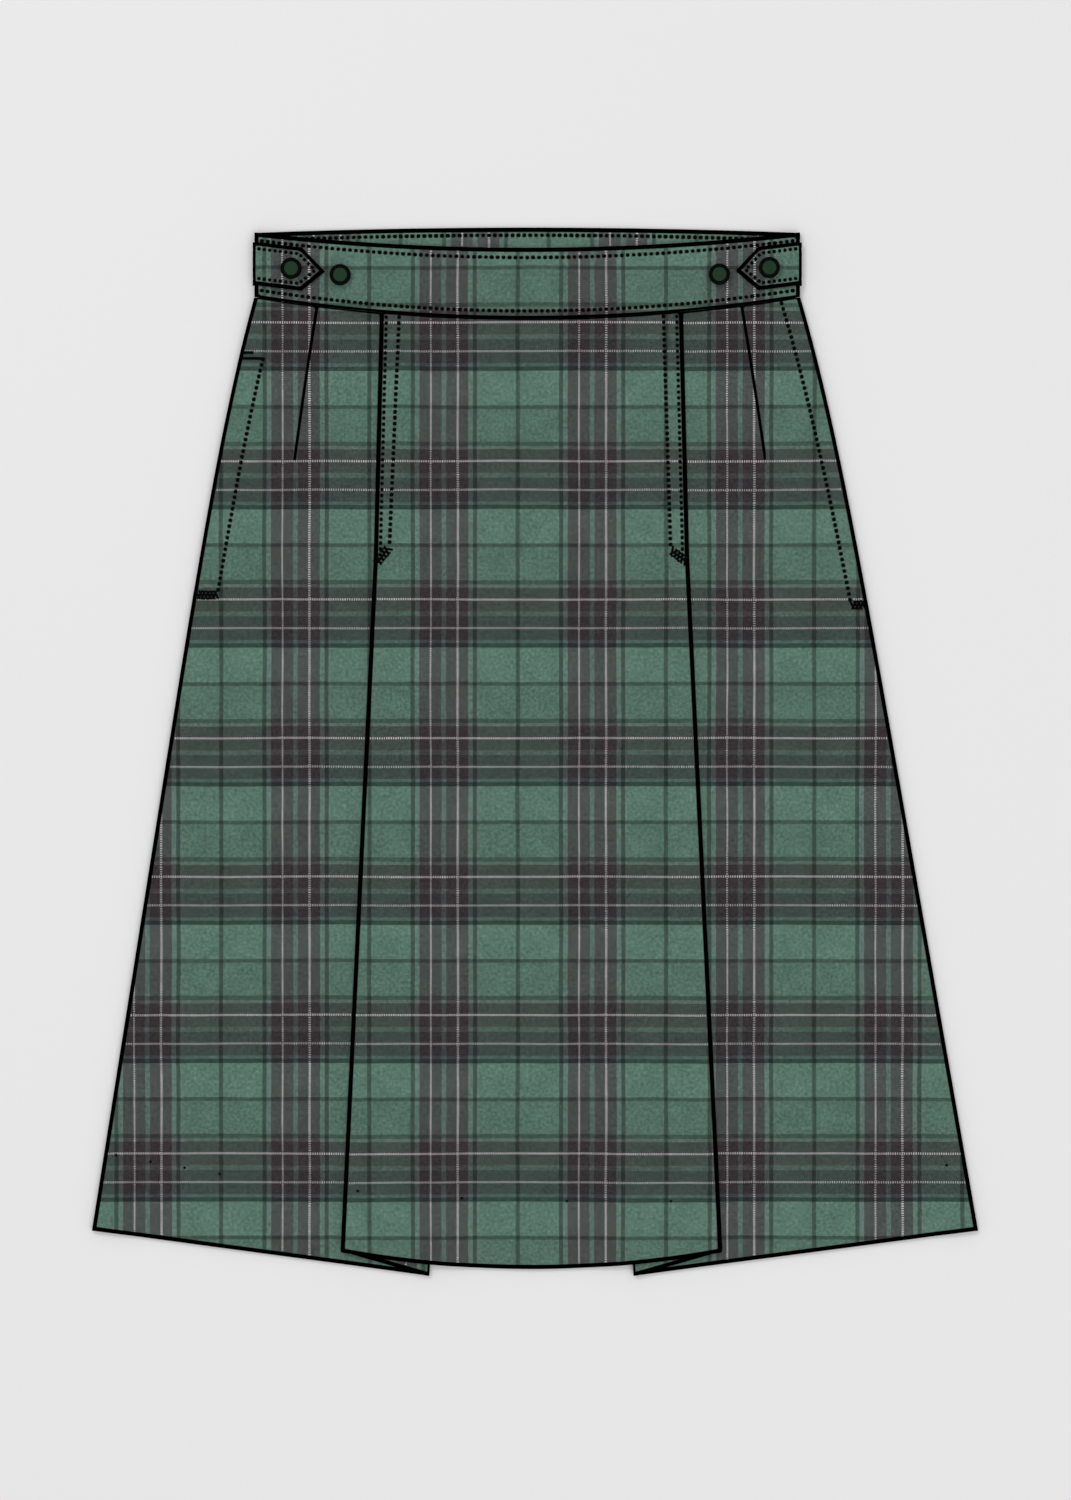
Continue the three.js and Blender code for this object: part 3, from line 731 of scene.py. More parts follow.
def waistband(name, top, seam, outer_face, inner_face, rows, inner_rows, u_shift=0.0):
    outward = 1 if outer_face > inner_face else -1
    stations = []
    for sign, waist in ((-1, WAIST_RIGHT), (1, WAIST_LEFT)):
        ends = [
            (sign * (waist - BAND * (1 - math.cos(a * TURN))), BAND + outward * BAND * math.sin(a * TURN))
            for a in steps(8, BAND_ROUND_START, 90)[:-1]
        ]
        if sign < 0:
            flat = steps(BAND_COLUMNS, BAND - WAIST_RIGHT, WAIST_LEFT - BAND)
            stations += ends + [(x, outer_face) for x in flat]
        else:
            stations += ends[::-1]
    depth = BAND_DEPTH + FRONT_SEAM_DIP - FRONT_TOP_DIP
    across = spread([0, BAND_TOP_ROW, depth - BAND_SEAM_ROW, depth], [8, 20, 8])
    grid = []
    for place in across:
        row = []
        for x, outer in stations:
            here = top(x) - seam(x)
            from_top = place * here / depth
            y = top(x) - from_top
            room = abs(outer - inner_face)
            edge = clamp(min(from_top, here - from_top) / BAND_EDGE_RADIUS)
            cut = min(BAND_EDGE_DROP * (1 - math.sqrt(edge * (2 - edge))), room / 3)
            relief = band_relief(x, from_top, here, rows(x, here)) * smooth(room / BAND)
            inner = band_relief(x + BAND_INNER_SHIFT, from_top, here, inner_rows(x, here))
            inside = inner * smooth(room / BAND)
            face = outer - outward * (cut - min(relief, 0))
            back = inner_face + outward * (cut - min(inside, 0))
            dark = nearest(
                from_top - BAND_TOP_LINE,
                here - from_top - BAND_SEAM_LINE,
                x + WAIST_RIGHT - EDGE_LINE,
                WAIST_LEFT - x - EDGE_LINE,
            )
            row.append(((x, y, face), (x, y, back), (x - u_shift, y), dark))
        grid.append(row)
    return shell(name, grid, edge=0)


def front_band_face(x, y):
    from_top = front_top(x) - y
    depth = front_top(x) - front_seam(x)
    return BAND_OUTER + min(0, band_relief(x, from_top, depth, band_rows(x, depth)))


# Tabs: pointed, faced and edge-stitched
def tab_middle(x):
    return (front_top(x) + front_seam(x)) / 2 + TAB_RISE


def tab_edge_distance(side, inward, v):
    long_edge = TAB_HALF_HEIGHT - abs(v)
    run = side["tip"] - side["shoulder"]
    slant = math.hypot(run, TAB_HALF_HEIGHT)
    to_slant = ((side["tip"] - inward) * TAB_HALF_HEIGHT - abs(v) * run) / slant
    return min(long_edge, to_slant)


def tab_surface(side, inward, v):
    """Point on the tab's face at a distance in from the waist's side and a height off its middle."""
    x = side["sign"] * (side["waist"] - inward)
    distance = tab_edge_distance(side, inward, v)
    relief = -ROW_SINK * bump_at(distance - TAB_ROW, ROW_WIDTH)
    relief = relief + TAB_PUFF * smooth(distance / TAB_PUFF_RUN) - TAB_PUFF
    return x, tab_middle(x) + v, BAND_OUTER + GAP + TAB + relief


def tab(side_name):
    side = SIDES[side_name]
    sign = side["sign"]
    bottom = BAND_OUTER + GAP
    centre = side["waist"] - BAND
    rows = []
    for share in steps(26, -1, 1):
        v = share * TAB_HALF_HEIGHT
        end = mix(side["tip"], side["shoulder"], abs(share))
        row = []
        for inward in steps(34, end, BAND):
            x, y, z = tab_surface(side, inward, v)
            dark = nearest(tab_edge_distance(side, inward, v) - TAB_LINE)
            row.append(((x, y, z), (x, y, bottom), (x, y), dark))
        y = tab_middle(sign * centre) + v
        for angle in steps(10, 90, TAB_ROOT_ANGLE)[1:]:
            edge = TAB_HALF_HEIGHT - abs(v)
            thickness = mix(TAB_ROOT, TAB, (angle - TAB_ROOT_ANGLE) / (90 - TAB_ROOT_ANGLE))
            radius = BAND + GAP + thickness
            sunk = ROW_SINK * bump_at(edge - TAB_ROW, ROW_WIDTH) * thickness / TAB
            back = turned(sign * centre, y, BAND, radius, angle * TURN, sign, thickness)[1]
            face = turned(sign * centre, y, BAND, radius - sunk, angle * TURN, sign, thickness)[0]
            arc = centre + radius * (90 - angle) * TURN
            from_side = radius * (1 - math.cos(angle * TURN))
            dark = nearest(edge - TAB_LINE, from_side - EDGE_LINE)
            row.append((face, back, (sign * arc, y), dark))
        rows.append(row)
    return shell(f"tab_{side_name}_cloth", rows, edge=TAB_EDGE)


# Buttons: a turned disc with a raised rim on a shank, modelled once and copied
BUTTON_SHANK = 1.4
BUTTON_SHANK_RADIUS = 1.7
BUTTON_FACE_RADIUS = 4.3
BUTTON_BEVEL = 0.12

# From the disc's edge to its middle: how far in each step of the face goes, and how far it rises
BUTTON_STEPS = [
    dict(inset=0.4, rise=0.32),
    dict(inset=1.35, rise=0.08),
    dict(inset=0.5, rise=-0.75),
    dict(inset=1.2, rise=0.12),
    dict(inset=1.5, rise=0.06),
]
BUTTON_UNDERCUT = dict(inset=1.2, rise=0.35)

# What the first cylinder leaves of the button's box for its bevels and steps
BUTTON_SIDE_ROOM = 0.15
BUTTON_STEP_ROOM = 0.75
BUTTON_DISC_DROP = 0.025


def button_model():
    low, high = node_box("button_tab_right")
    radius = (high[0] - low[0]) / 2 - BUTTON_SIDE_ROOM
    height = high[2] - low[2]
    disc = height - BUTTON_SHANK
    bpy.ops.object.select_all(action="DESELECT")
    middle = BUTTON_SHANK + disc / 2 - BUTTON_DISC_DROP
    bpy.ops.mesh.primitive_cylinder_add(
        vertices=48, radius=radius * MM, depth=(disc - BUTTON_STEP_ROOM) * MM, location=(0, 0, middle * MM)
    )
    model = bpy.context.object
    bpy.ops.object.transform_apply(location=True)
    bpy.ops.object.mode_set(mode="EDIT")
    pick_cap(model, upward=True)
    for step in BUTTON_STEPS:
        bpy.ops.mesh.inset(thickness=step["inset"] * MM, depth=step["rise"] * MM)
    pick_cap(model, upward=False)
    undercut = BUTTON_UNDERCUT["inset"]
    bpy.ops.mesh.inset(thickness=undercut * MM, depth=BUTTON_UNDERCUT["rise"] * MM)
    bpy.ops.mesh.inset(thickness=(radius - undercut - BUTTON_SHANK_RADIUS) * MM, depth=0)
    bpy.ops.mesh.extrude_region_move(TRANSFORM_OT_translate={"value": (0, 0, -BUTTON_SHANK * MM)})
    bpy.ops.object.mode_set(mode="OBJECT")
    bevel = model.modifiers.new("turned edges", "BEVEL")
    bevel.width = BUTTON_BEVEL * MM
    bevel.segments = 2
    bevel.limit_method = "ANGLE"
    bevel.angle_limit = 25 * TURN
    bpy.ops.object.modifier_apply(modifier=bevel.name)
    bpy.ops.object.shade_smooth_by_angle(angle=40 * TURN)
    return model


def pick_cap(model, upward):
    bpy.ops.mesh.select_all(action="DESELECT")
    bm = bmesh.from_edit_mesh(model.data)
    aim = 1 if upward else -1
    for face in bm.faces:
        if face.normal.z * aim > 0.99 and len(face.verts) > 8:
            face.select_set(True)
    bmesh.update_edit_mesh(model.data)


def buttons():
    model = button_model()
    pieces = []
    for node in [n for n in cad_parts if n.startswith("button_")]:
        low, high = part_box(node)
        piece = model.copy()
        piece.data = model.data.copy()
        piece.name = node + "_turned"
        bpy.context.collection.objects.link(piece)
        foot = min(v.co.z for v in piece.data.vertices)
        shift = Vector(((low[0] + high[0]) / 2, (low[1] + high[1]) / 2, low[2] - foot))
        for vertex in piece.data.vertices:
            vertex.co += shift
        pieces.append((piece, node, shift))
    bpy.data.objects.remove(model)
    return pieces


# Sewing thread: one stitch is a short fat lens that arches over the cloth, repeated along a path
STITCH_TIP = -0.7
STITCH_RINGS = [
    dict(along=-0.75, fat=0.85, rise=-0.15),
    dict(along=0.0, fat=1.0, rise=0.35),
    dict(along=0.75, fat=0.85, rise=-0.15),
]


def stitch_shape():
    sides = 6
    points = []
    for ring in STITCH_RINGS:
        for k in range(sides):
            a = 2 * math.pi * k / sides
            height = ring["rise"] + ring["fat"] * math.sin(a)
            points.append((ring["along"], ring["fat"] * math.cos(a), height))
    points.append((-1.0, 0.0, STITCH_TIP))
    points.append((1.0, 0.0, STITCH_TIP))
    faces = []
    for ring in range(len(STITCH_RINGS) - 1):
        for k in range(sides):
            a = ring * sides + k
            b = ring * sides + (k + 1) % sides
            faces.append((a, b, b + sides, a + sides))
    for k in range(sides):
        faces.append(((k + 1) % sides, k, 3 * sides))
        faces.append((2 * sides + k, 2 * sides + (k + 1) % sides, 3 * sides + 1))
    return points, faces


def along_path(path, pitch):
    """Centres and directions of stitches, evenly spaced along a polyline."""
    lengths = [(b - a).length for a, b in zip(path, path[1:])]
    total = sum(lengths)
    count = max(1, round(total / pitch))
    places = []
    index, passed = 0, 0.0
    for k in range(count):
        target = total * (k + 0.5) / count
        while index < len(lengths) - 1 and passed + lengths[index] < target:
            passed += lengths[index]
            index += 1
        t = (target - passed) / lengths[index]
        places.append((path[index].lerp(path[index + 1], t), (path[index + 1] - path[index]).normalized()))
    return places


def stitching(name, paths, seed, pitch=STITCH_PITCH, size=STITCH_SIZE, down=False, zigzag=0.0):
    """Stitches along the paths. A zigzag turns every other one by that many degrees either way."""
    draw = random.Random(seed)
    shape, shape_faces = stitch_shape()
    length, width, height = size
    up = Vector((0, 0, -1 if down else 1))
    verts, faces = [], []
    for path in paths:
        for count, (centre, direction) in enumerate(along_path([Vector(p) for p in path], pitch)):
            sideways = up.cross(direction).normalized()
            skew = draw.uniform(-STITCH_SKEW, STITCH_SKEW)
            slant = math.tan(zigzag * TURN) * (1 if count % 2 else -1) + skew
            direction = (direction + slant * sideways).normalized()
            sideways = up.cross(direction)
            normal = direction.cross(sideways)
            scale = draw.uniform(*STITCH_SCALE)
            first = len(verts)
            for a, b, c in shape:
                along = direction * (a * length / 2 * scale)
                verts.append((centre + along + sideways * (b * width / 2) + normal * (c * height / 2)) * MM)
            faces += [[first + index for index in face] for face in shape_faces]
    mesh = bpy.data.meshes.new(name)
    mesh.from_pydata(verts, [], faces)
    bm = bmesh.new()
    bm.from_mesh(mesh)
    bmesh.ops.recalc_face_normals(bm, faces=bm.faces)
    bm.to_mesh(mesh)
    bm.free()
    piece = bpy.data.objects.new(name, mesh)
    bpy.context.collection.objects.link(piece)
    activate(piece)
    bpy.ops.object.shade_smooth()
    return piece


THREAD_RIDE = 0.2
BACK_THREAD_HEIGHT = 0.58
BAND_ROW_END = 3
ROW_START = 1.5


def front_band_threads():
    rows = []
    for place in (lambda x: front_top(x) - band_top_row(x), lambda x: front_seam(x) + BAND_SEAM_ROW):
        xs = steps(120, BAND_ROW_END - WAIST_RIGHT, WAIST_LEFT - BAND_ROW_END)
        rows.append([(x, place(x), front_band_face(x, place(x)) + THREAD_RIDE) for x in xs])
    return [stitching("waistband_front_stitches", rows, 1)]


def back_band_threads():
    xs = steps(120, BAND_ROW_END - WAIST_RIGHT, WAIST_LEFT - BAND_ROW_END)
    inner = [(x, back_top(x) - BACK_BAND_ROW, BACK_BAND - BAND_ROW_SINK + THREAD_RIDE) for x in xs[6:-6]]
    outer = [
        [(x, back_top(x) - BACK_BAND_ROW, BACK_THREAD_HEIGHT) for x in xs],
        [(x, back_seam(x) + BAND_SEAM_ROW, BACK_THREAD_HEIGHT) for x in xs],
    ]
    return [
        stitching("waistband_back_inner_stitches", [inner], 2),
        stitching("waistband_back_outer_stitches", outer, 3, down=True),
    ]


def tacks(name, bars, seed, height):
    """Bartacks: thread wound back and forth over short bars, each of the given height."""
    size = (height, TACK_THREAD, TACK_THREAD_HEIGHT)
    return stitching(name, bars, seed, pitch=TACK_PITCH, size=size, zigzag=TACK_TURN)


def pleat_threads():
    edge_rows, second_rows, bars = [], [], []
    for sign in (-1, 1):
        def on_panel(y, inward):
            x = PANEL_MIDDLE + sign * (panel_half(y) - inward)
            return x, y, centre_face(x, y) + THREAD_RIDE

        top = front_seam(PANEL_MIDDLE + sign * PANEL_HALF_TOP) - ROW_START
        edge_rows.append([on_panel(y, PLEAT_EDGE_ROW) for y in steps(60, top, RELEASE)])
        foot = PLEAT_FOOT[sign]
        second_end = RELEASE + foot["top"] + ROW_TO_TACK
        second_rows.append([on_panel(y, second_row(sign, y)) for y in steps(60, top, second_end)])
        heights = [RELEASE + mix(foot["top"], foot["low"], t) for t in steps(6)]
        inwards = [mix(foot["row"] - TACK_TO_ROW, TACK_TO_EDGE, t) for t in steps(6)]
        bars.append([on_panel(y, inward) for y, inward in zip(heights, inwards)])
    return [
        stitching("pleat_edge_stitches", edge_rows, 4, size=EDGE_STITCH_SIZE),
        stitching("pleat_second_stitches", second_rows, 9),
        tacks("pleat_bartacks", bars, 5, PLEAT_TACK_HEIGHT),
    ]


def side_bar(side_name, y, reach):
    """Level path on a side panel, from this far in to the side seam."""
    side = SIDES[side_name]
    inner = side_reach(side, y) - reach
    xs = [side["sign"] * (inner + out) for out in steps(6, 0, reach - BAR_TO_EDGE)]
    return [(x, y, side_face(side, side_name, x, y) + THREAD_RIDE) for x in xs]


def side_threads(side_name, start, end):
    side = SIDES[side_name]
    row = []
    for y in steps(60, start, end + ROW_START):
        x = side["sign"] * (side_reach(side, y) - side_row(side, y))
        row.append((x, y, side_face(side, side_name, x, y) + THREAD_RIDE))
    foot = side_bar(side_name, end, side["foot"])
    return [
        stitching(f"side_seam_{side_name}_stitches", [row], 6),
        tacks(f"side_seam_{side_name}_bartack", [foot], 7, SIDE_TACK_HEIGHT),
    ]


def pocket_top_tacks():
    bars = [side_bar("right", POCKET_TOP + bar["rise"], bar["reach"] * POCKET_ROW) for bar in POCKET_BARS]
    return [stitching("pocket_top_bartacks", bars, 10, pitch=BAR_PITCH, size=BAR_STITCH_SIZE)]


def hem_tacks(piece, face):
    """Single stitches of the blind hem that come through to the face."""
    half = HEM_TACK_LENGTH / 2
    paths = [
        [(x - half, y, face(x, y) + THREAD_RIDE), (x + half, y, face(x, y) + THREAD_RIDE)]
        for x, y in HEM_TACKS[piece]
    ]
    return [stitching(f"hem_{piece}_tacks", paths, 11, size=HEM_TACK_SIZE)]


def tab_threads(side_name):
    side = SIDES[side_name]
    run = side["tip"] - side["shoulder"]
    slant = math.hypot(run, TAB_HALF_HEIGHT)
    v = TAB_HALF_HEIGHT - TAB_ROW
    tip = side["tip"] - TAB_ROW * slant / TAB_HALF_HEIGHT
    corner = tip - v * run / TAB_HALF_HEIGHT
    half = [(inward, v) for inward in steps(12, ROW_START, corner)]
    half += [(mix(corner, tip, t), v * (1 - t)) for t in steps(6)[1:]]
    outline = half + [(inward, -height) for inward, height in half[-2::-1]]
    points = [tab_surface(side, inward, height) for inward, height in outline]
    path = [(x, y, z + THREAD_RIDE) for x, y, z in points]
    return [stitching(f"tab_{side_name}_stitches", [path], 8, pitch=TAB_STITCH_PITCH, size=TAB_STITCH_SIZE)]


# Check: one row for each stripe, with its yarn and its width in millimetres. Warp stripes run up and
# are listed towards +X, weft stripes run across and are listed towards the hem. A yarn's tint darkens
# the dye, warp and weft together. Its last number is the share of white yarn in that stripe.
DYE = (0.388, 0.467, 0.437)
WHITE_YARN = (0.76, 0.735, 0.745)
# Near-black painted shade for the lines along seams, darts, folds and turned edges
PAINTED_SHADE_COLOUR = (0.012, 0.014, 0.013)
WARP_TINTS = {
    "heather": (0.96, 0.985, 0.98, 0),
    "gap": (0.9, 0.91, 0.92, 0),
    "green": (0.9, 0.983, 0.942, 0),
    "line": (0.63, 0.695, 0.66, 0),
    "charcoal": (0.75, 0.66, 0.685, 0),
    "white": (0.75, 0.66, 0.685, 0.98),
}
WARP_START = -77.0
WARP = [
    ("line", 2.4),
    ("heather", 2.7),
    ("charcoal", 6.6),
    ("white", 1.2),
    ("charcoal", 6.0),
    ("gap", 2.9),
    ("charcoal", 6.5),
    ("white", 1.2),
    ("charcoal", 5.7),
    ("heather", 3.2),
    ("line", 2.2),
    ("heather", 2.0),
    ("green", 22.25),
    ("line", 2.6),
    ("green", 24.5),
]
WEFT_TINTS = {
    "green": (1.0, 1.0, 1.0, 0),
    "low green": (0.935, 0.935, 0.935, 0),
    "line": (0.7, 0.7, 0.7, 0),
    "upper gap": (0.96, 0.89, 0.92, 0),
    "charcoal": (0.725, 0.607, 0.648, 0),
    "white": (0.725, 0.607, 0.648, 0.92),
    "gap": (0.85, 0.78, 0.81, 0),
    "deep charcoal": (0.68, 0.595, 0.635, 0),
    "deep white": (0.68, 0.595, 0.635, 0.74),
    "lower gap": (0.84, 0.8, 0.838, 0),
    "deep line": (0.53, 0.565, 0.575, 0),
}
WEFT_START = 106.3
WEFT = [
    ("line", 2.5),
    ("upper gap", 2.1),
    ("charcoal", 6.7),
    ("white", 1.2),
    ("charcoal", 6.8),
    ("gap", 2.9),
    ("deep charcoal", 6.8),
    ("deep white", 1.2),
    ("deep charcoal", 6.8),
    ("lower gap", 2.2),
    ("deep line", 2.6),
    ("green", 21.0),
    ("line", 2.4),
    ("low green", 20.7),
]

# The check inside the back waistband is shifted by this much
BACK_BAND_SHIFT = 19.2

# Weave: two yarns of each four float on top, so the share that tells them apart lies between a quarter
# and a half. Then how strongly yarns, fibres and the painted shade lines show.
YARN_PITCH = 0.36
TWILL_REPEAT = 4.0
TWILL_UP = 0.45
WEAVE_CONTRAST = 0.8
WEAVE_WANDER = 0.0012
FIBRE_STRENGTH = 1.15
FIBRE_RELIEF = 0.7
LINE_SOFTNESS = 0.25
CLOTH_SPECULAR = 0.18
CLOTH_SHEEN = 0.12

# Powers by which the tint of a crossing stripe dims a white line
DIM_UP = 0.85
DIM_ACROSS = 0.3


class Nodes:
    """Short ways to add and link nodes in one tree."""

    def __init__(self, tree):
        self.tree = tree
        tree.nodes.clear()

    def add(self, kind, inputs=None, **settings):
        node = self.tree.nodes.new("ShaderNode" + kind)
        for key, value in settings.items():
            setattr(node, key, value)
        for key, value in (inputs or {}).items():
            self.feed(node.inputs[key], value)
        return node

    def feed(self, socket, value):
        if isinstance(value, bpy.types.NodeSocket):
            self.tree.links.new(value, socket)
        elif isinstance(value, bpy.types.Node):
            self.tree.links.new(value.outputs[0], socket)
        else:
            socket.default_value = value

    def math(self, operation, *values):
        node = self.add("Math", operation=operation)
        for socket, value in zip(node.inputs, values):
            self.feed(socket, value)
        return node.outputs[0]

    def blend(self, factor, a, b, kind="MIX"):
        node = self.add("Mix", data_type="RGBA", blend_type=kind)
        self.feed(node.inputs[0], factor)
        self.feed(node.inputs[6], a)
        self.feed(node.inputs[7], b)
        return node.outputs[2]


def group(name, inputs, outputs):
    tree = bpy.data.node_groups.new(name, "ShaderNodeTree")
    for label, kind in inputs:
        tree.interface.new_socket(label, in_out="INPUT", socket_type="NodeSocket" + kind)
    for label, kind in outputs:
        tree.interface.new_socket(label, in_out="OUTPUT", socket_type="NodeSocket" + kind)
    nodes = Nodes(tree)
    start = tree.nodes.new("NodeGroupInput")
    end = tree.nodes.new("NodeGroupOutput")
    return tree, nodes, start, end


def stripes(nodes, moved, table, tints):
    """Colour ramp that repeats the table. Its alpha is the share of white yarn."""
    repeat = sum(width for _, width in table)
    turn = nodes.math("FRACT", nodes.math("DIVIDE", moved, repeat * MM))
    ramp = nodes.add("ValToRGB", {"Fac": turn})
    ramp.color_ramp.interpolation = "CONSTANT"
    stops = ramp.color_ramp.elements
    done = 0.0
    for index, (yarn, width) in enumerate(table):
        stop = stops[index] if index < 2 else stops.new(done / repeat)
        stop.position = done / repeat
        stop.color = tints[yarn]
        done += width
    return ramp.outputs


def twill_group():
    """Two-over-two twill: which yarn is on top, its crown's height, and the dashes of white yarns."""
    outputs = [("Warp On Top", "Float"), ("Height", "Float"), ("Dash Up", "Float"), ("Dash Across", "Float")]
    tree, nodes, start, end = group("twill", [("Place", "Vector")], outputs)
    split = nodes.add("SeparateXYZ", {0: start.outputs[0]})
    u = nodes.math("DIVIDE", split.outputs[0], YARN_PITCH * MM)
    v = nodes.math("DIVIDE", split.outputs[1], YARN_PITCH * MM)
    steps_across = nodes.math("SUBTRACT", nodes.math("FLOOR", u), nodes.math("FLOOR", v))
    turn = nodes.math("FRACT", nodes.math("DIVIDE", steps_across, TWILL_REPEAT))
    on_top = nodes.math("LESS_THAN", turn, TWILL_UP)
    crown_u = nodes.math("ABSOLUTE", nodes.math("SINE", nodes.math("MULTIPLY", u, math.pi)))
    crown_v = nodes.math("ABSOLUTE", nodes.math("SINE", nodes.math("MULTIPLY", v, math.pi)))
    lift = nodes.add("Mix", {0: on_top, 2: crown_v, 3: crown_u}, data_type="FLOAT")
    nodes.feed(end.inputs[0], on_top)
    nodes.feed(end.inputs[1], lift.outputs[0])
    for socket, yarns in ((end.inputs[2], v), (end.inputs[3], u)):
        dash = nodes.math("FRACT", nodes.math("DIVIDE", nodes.math("FLOOR", yarns), TWILL_REPEAT))
        nodes.feed(socket, nodes.math("LESS_THAN", dash, TWILL_UP))
    return tree


def fibre_group():
    """Uneven dye and stray fibres of spun yarn."""
    tree, nodes, start, end = group(
        "spun fibre",
        [("Place", "Vector"), ("Colour", "Color"), ("Strength", "Float")],
        [("Colour", "Color"), ("Height", "Float")],
    )
    place = start.outputs[0]
    fine = nodes.add("TexNoise", {"Vector": place, "Scale": 520.0, "Detail": 3.0, "Roughness": 0.7})
    broad = nodes.add("TexNoise", {"Vector": place, "Scale": 60.0, "Detail": 4.0, "Roughness": 0.65})
    shade = nodes.add("Mix", {0: 0.25, 2: fine.outputs[0], 3: broad.outputs[0]}, data_type="FLOAT")
    centred = nodes.math("MULTIPLY", nodes.math("SUBTRACT", shade, 0.5), start.outputs[2])
    value = nodes.math("ADD", centred, 1.0)
    hsv = nodes.add("HueSaturation", {"Value": value, "Color": start.outputs[1]})
    nodes.feed(end.inputs[0], hsv.outputs[0])
    nodes.feed(end.inputs[1], fine.outputs[0])
    return tree


GROUPS = {}


def place_group(nodes, name, **inputs):
    node = nodes.tree.nodes.new("ShaderNodeGroup")
    node.node_tree = GROUPS[name]
    for key, value in inputs.items():
        nodes.feed(node.inputs[key.replace("_", " ")], value)
    return node


def material(name):
    result = bpy.data.materials.new(name)
    result.use_nodes = True
    nodes = Nodes(result.node_tree)
    shader = nodes.add("BsdfPrincipled")
    output = nodes.add("OutputMaterial", {"Surface": shader})
    output.is_active_output = True
    return result, nodes, shader


def check_cloth():
    result, nodes, shader = material("check_twill")
    uv = nodes.add("UVMap", uv_map="cloth").outputs[0]
    wander = nodes.add("TexNoise", {"Vector": uv, "Scale": 14.0, "Detail": 1.0})
    shift = nodes.add("VectorMath", {0: wander.outputs[1], 1: (0.5, 0.5, 0.5)}, operation="SUBTRACT")
    small = nodes.add("VectorMath", {0: shift.outputs[0], "Scale": WEAVE_WANDER}, operation="SCALE")
    place = nodes.add("VectorMath", {0: uv, 1: small.outputs[0]}, operation="ADD").outputs[0]
    split = nodes.add("SeparateXYZ", {0: place})
    across = nodes.math("SUBTRACT", split.outputs[0], WARP_START * MM)
    down = nodes.math("SUBTRACT", WEFT_START * MM, split.outputs[1])
    warp, warp_white = stripes(nodes, across, WARP, WARP_TINTS)
    weft, weft_white = stripes(nodes, down, WEFT, WEFT_TINTS)
    twill = place_group(nodes, "twill", Place=place)
    on_top = twill.outputs[0]
    under = nodes.math("SUBTRACT", 1.0, on_top)
    warp_power = nodes.math("MULTIPLY_ADD", on_top, WEAVE_CONTRAST, 1 - WEAVE_CONTRAST / 2)
    weft_power = nodes.math("MULTIPLY_ADD", under, WEAVE_CONTRAST, 1 - WEAVE_CONTRAST / 2)
    warp_tint = nodes.add("Gamma", {"Color": warp, "Gamma": warp_power}).outputs[0]
    weft_tint = nodes.add("Gamma", {"Color": weft, "Gamma": weft_power}).outputs[0]
    tinted = nodes.blend(1.0, warp_tint, weft_tint, "MULTIPLY")
    dyed = nodes.blend(1.0, tinted, (*DYE, 1), "MULTIPLY")
    up_dimmed = nodes.math("MULTIPLY", warp_white, nodes.math("POWER", weft, DIM_UP))
    across_dimmed = nodes.math("MULTIPLY", weft_white, nodes.math("POWER", warp, DIM_ACROSS))
    white_up = nodes.math("MULTIPLY", up_dimmed, twill.outputs[2])
    white_across = nodes.math("MULTIPLY", across_dimmed, twill.outputs[3])
    woven = nodes.blend(nodes.math("MAXIMUM", white_up, white_across), dyed, (*WHITE_YARN, 1))
    fibre = place_group(nodes, "spun fibre", Place=place, Colour=woven, Strength=FIBRE_STRENGTH)
    # Painted shade: near-black colour mixed into the cloth along seams, darts, folds and turned edges
    past_line = nodes.add("Attribute", attribute_name="line").outputs["Fac"]
    line_range = {0: past_line, 1: -LINE_SOFTNESS, 2: LINE_SOFTNESS}
    bare = nodes.add("MapRange", line_range, interpolation_type="SMOOTHSTEP").outputs[0]
    lined = nodes.blend(bare, (*PAINTED_SHADE_COLOUR, 1), fibre.outputs[0])
    colour = nodes.add("Gamma", {"Color": lined, "Gamma": 2.2})
    stray = nodes.math("MULTIPLY", fibre.outputs[1], FIBRE_RELIEF)
    height = nodes.math("ADD", twill.outputs[1], stray)
    relief = nodes.add("Bump", {"Strength": 0.5, "Distance": 0.00012, "Height": height})
    nodes.feed(shader.inputs["Base Color"], colour)
    nodes.feed(shader.inputs["Normal"], relief)
    nodes.feed(shader.inputs["Specular IOR Level"], nodes.math("MULTIPLY", bare, CLOTH_SPECULAR))
    nodes.feed(shader.inputs["Sheen Weight"], nodes.math("MULTIPLY", bare, CLOTH_SHEEN))
    shader.inputs["Roughness"].default_value = 0.88
    shader.inputs["Sheen Roughness"].default_value = 0.45
    shader.inputs["Sheen Tint"].default_value = (0.8, 0.85, 0.82, 1)
    return result


def plain_material(name, colour, roughness, grain, strength, bump, **settings):
    """Finish with fine grain: dyed thread, tape, lining, resin or metal."""
    result, nodes, shader = material(name)
    place = nodes.add("TexCoord").outputs["Object"]
    base = nodes.add("TexNoise", {"Vector": place, "Scale": grain, "Detail": 3.0, "Roughness": 0.6})
    value = nodes.math("MULTIPLY_ADD", base, strength, 1 - strength / 2)
    tinted = nodes.add("HueSaturation", {"Value": value, "Color": (*colour, 1)})
    relief = nodes.add("Bump", {"Strength": 0.4, "Distance": bump, "Height": base.outputs[0]})
    nodes.feed(shader.inputs["Base Color"], tinted)
    nodes.feed(shader.inputs["Normal"], relief)
    shader.inputs["Roughness"].default_value = roughness
    for key, setting in settings.items():
        shader.inputs[key.replace("_", " ")].default_value = setting
    return result


def linear(r, g, b):
    return tuple((c / 255) ** 2.2 for c in (r, g, b))


# Stage, in metres
FLOOR_SIZE = 12
FLOOR_DROP = 0.0002


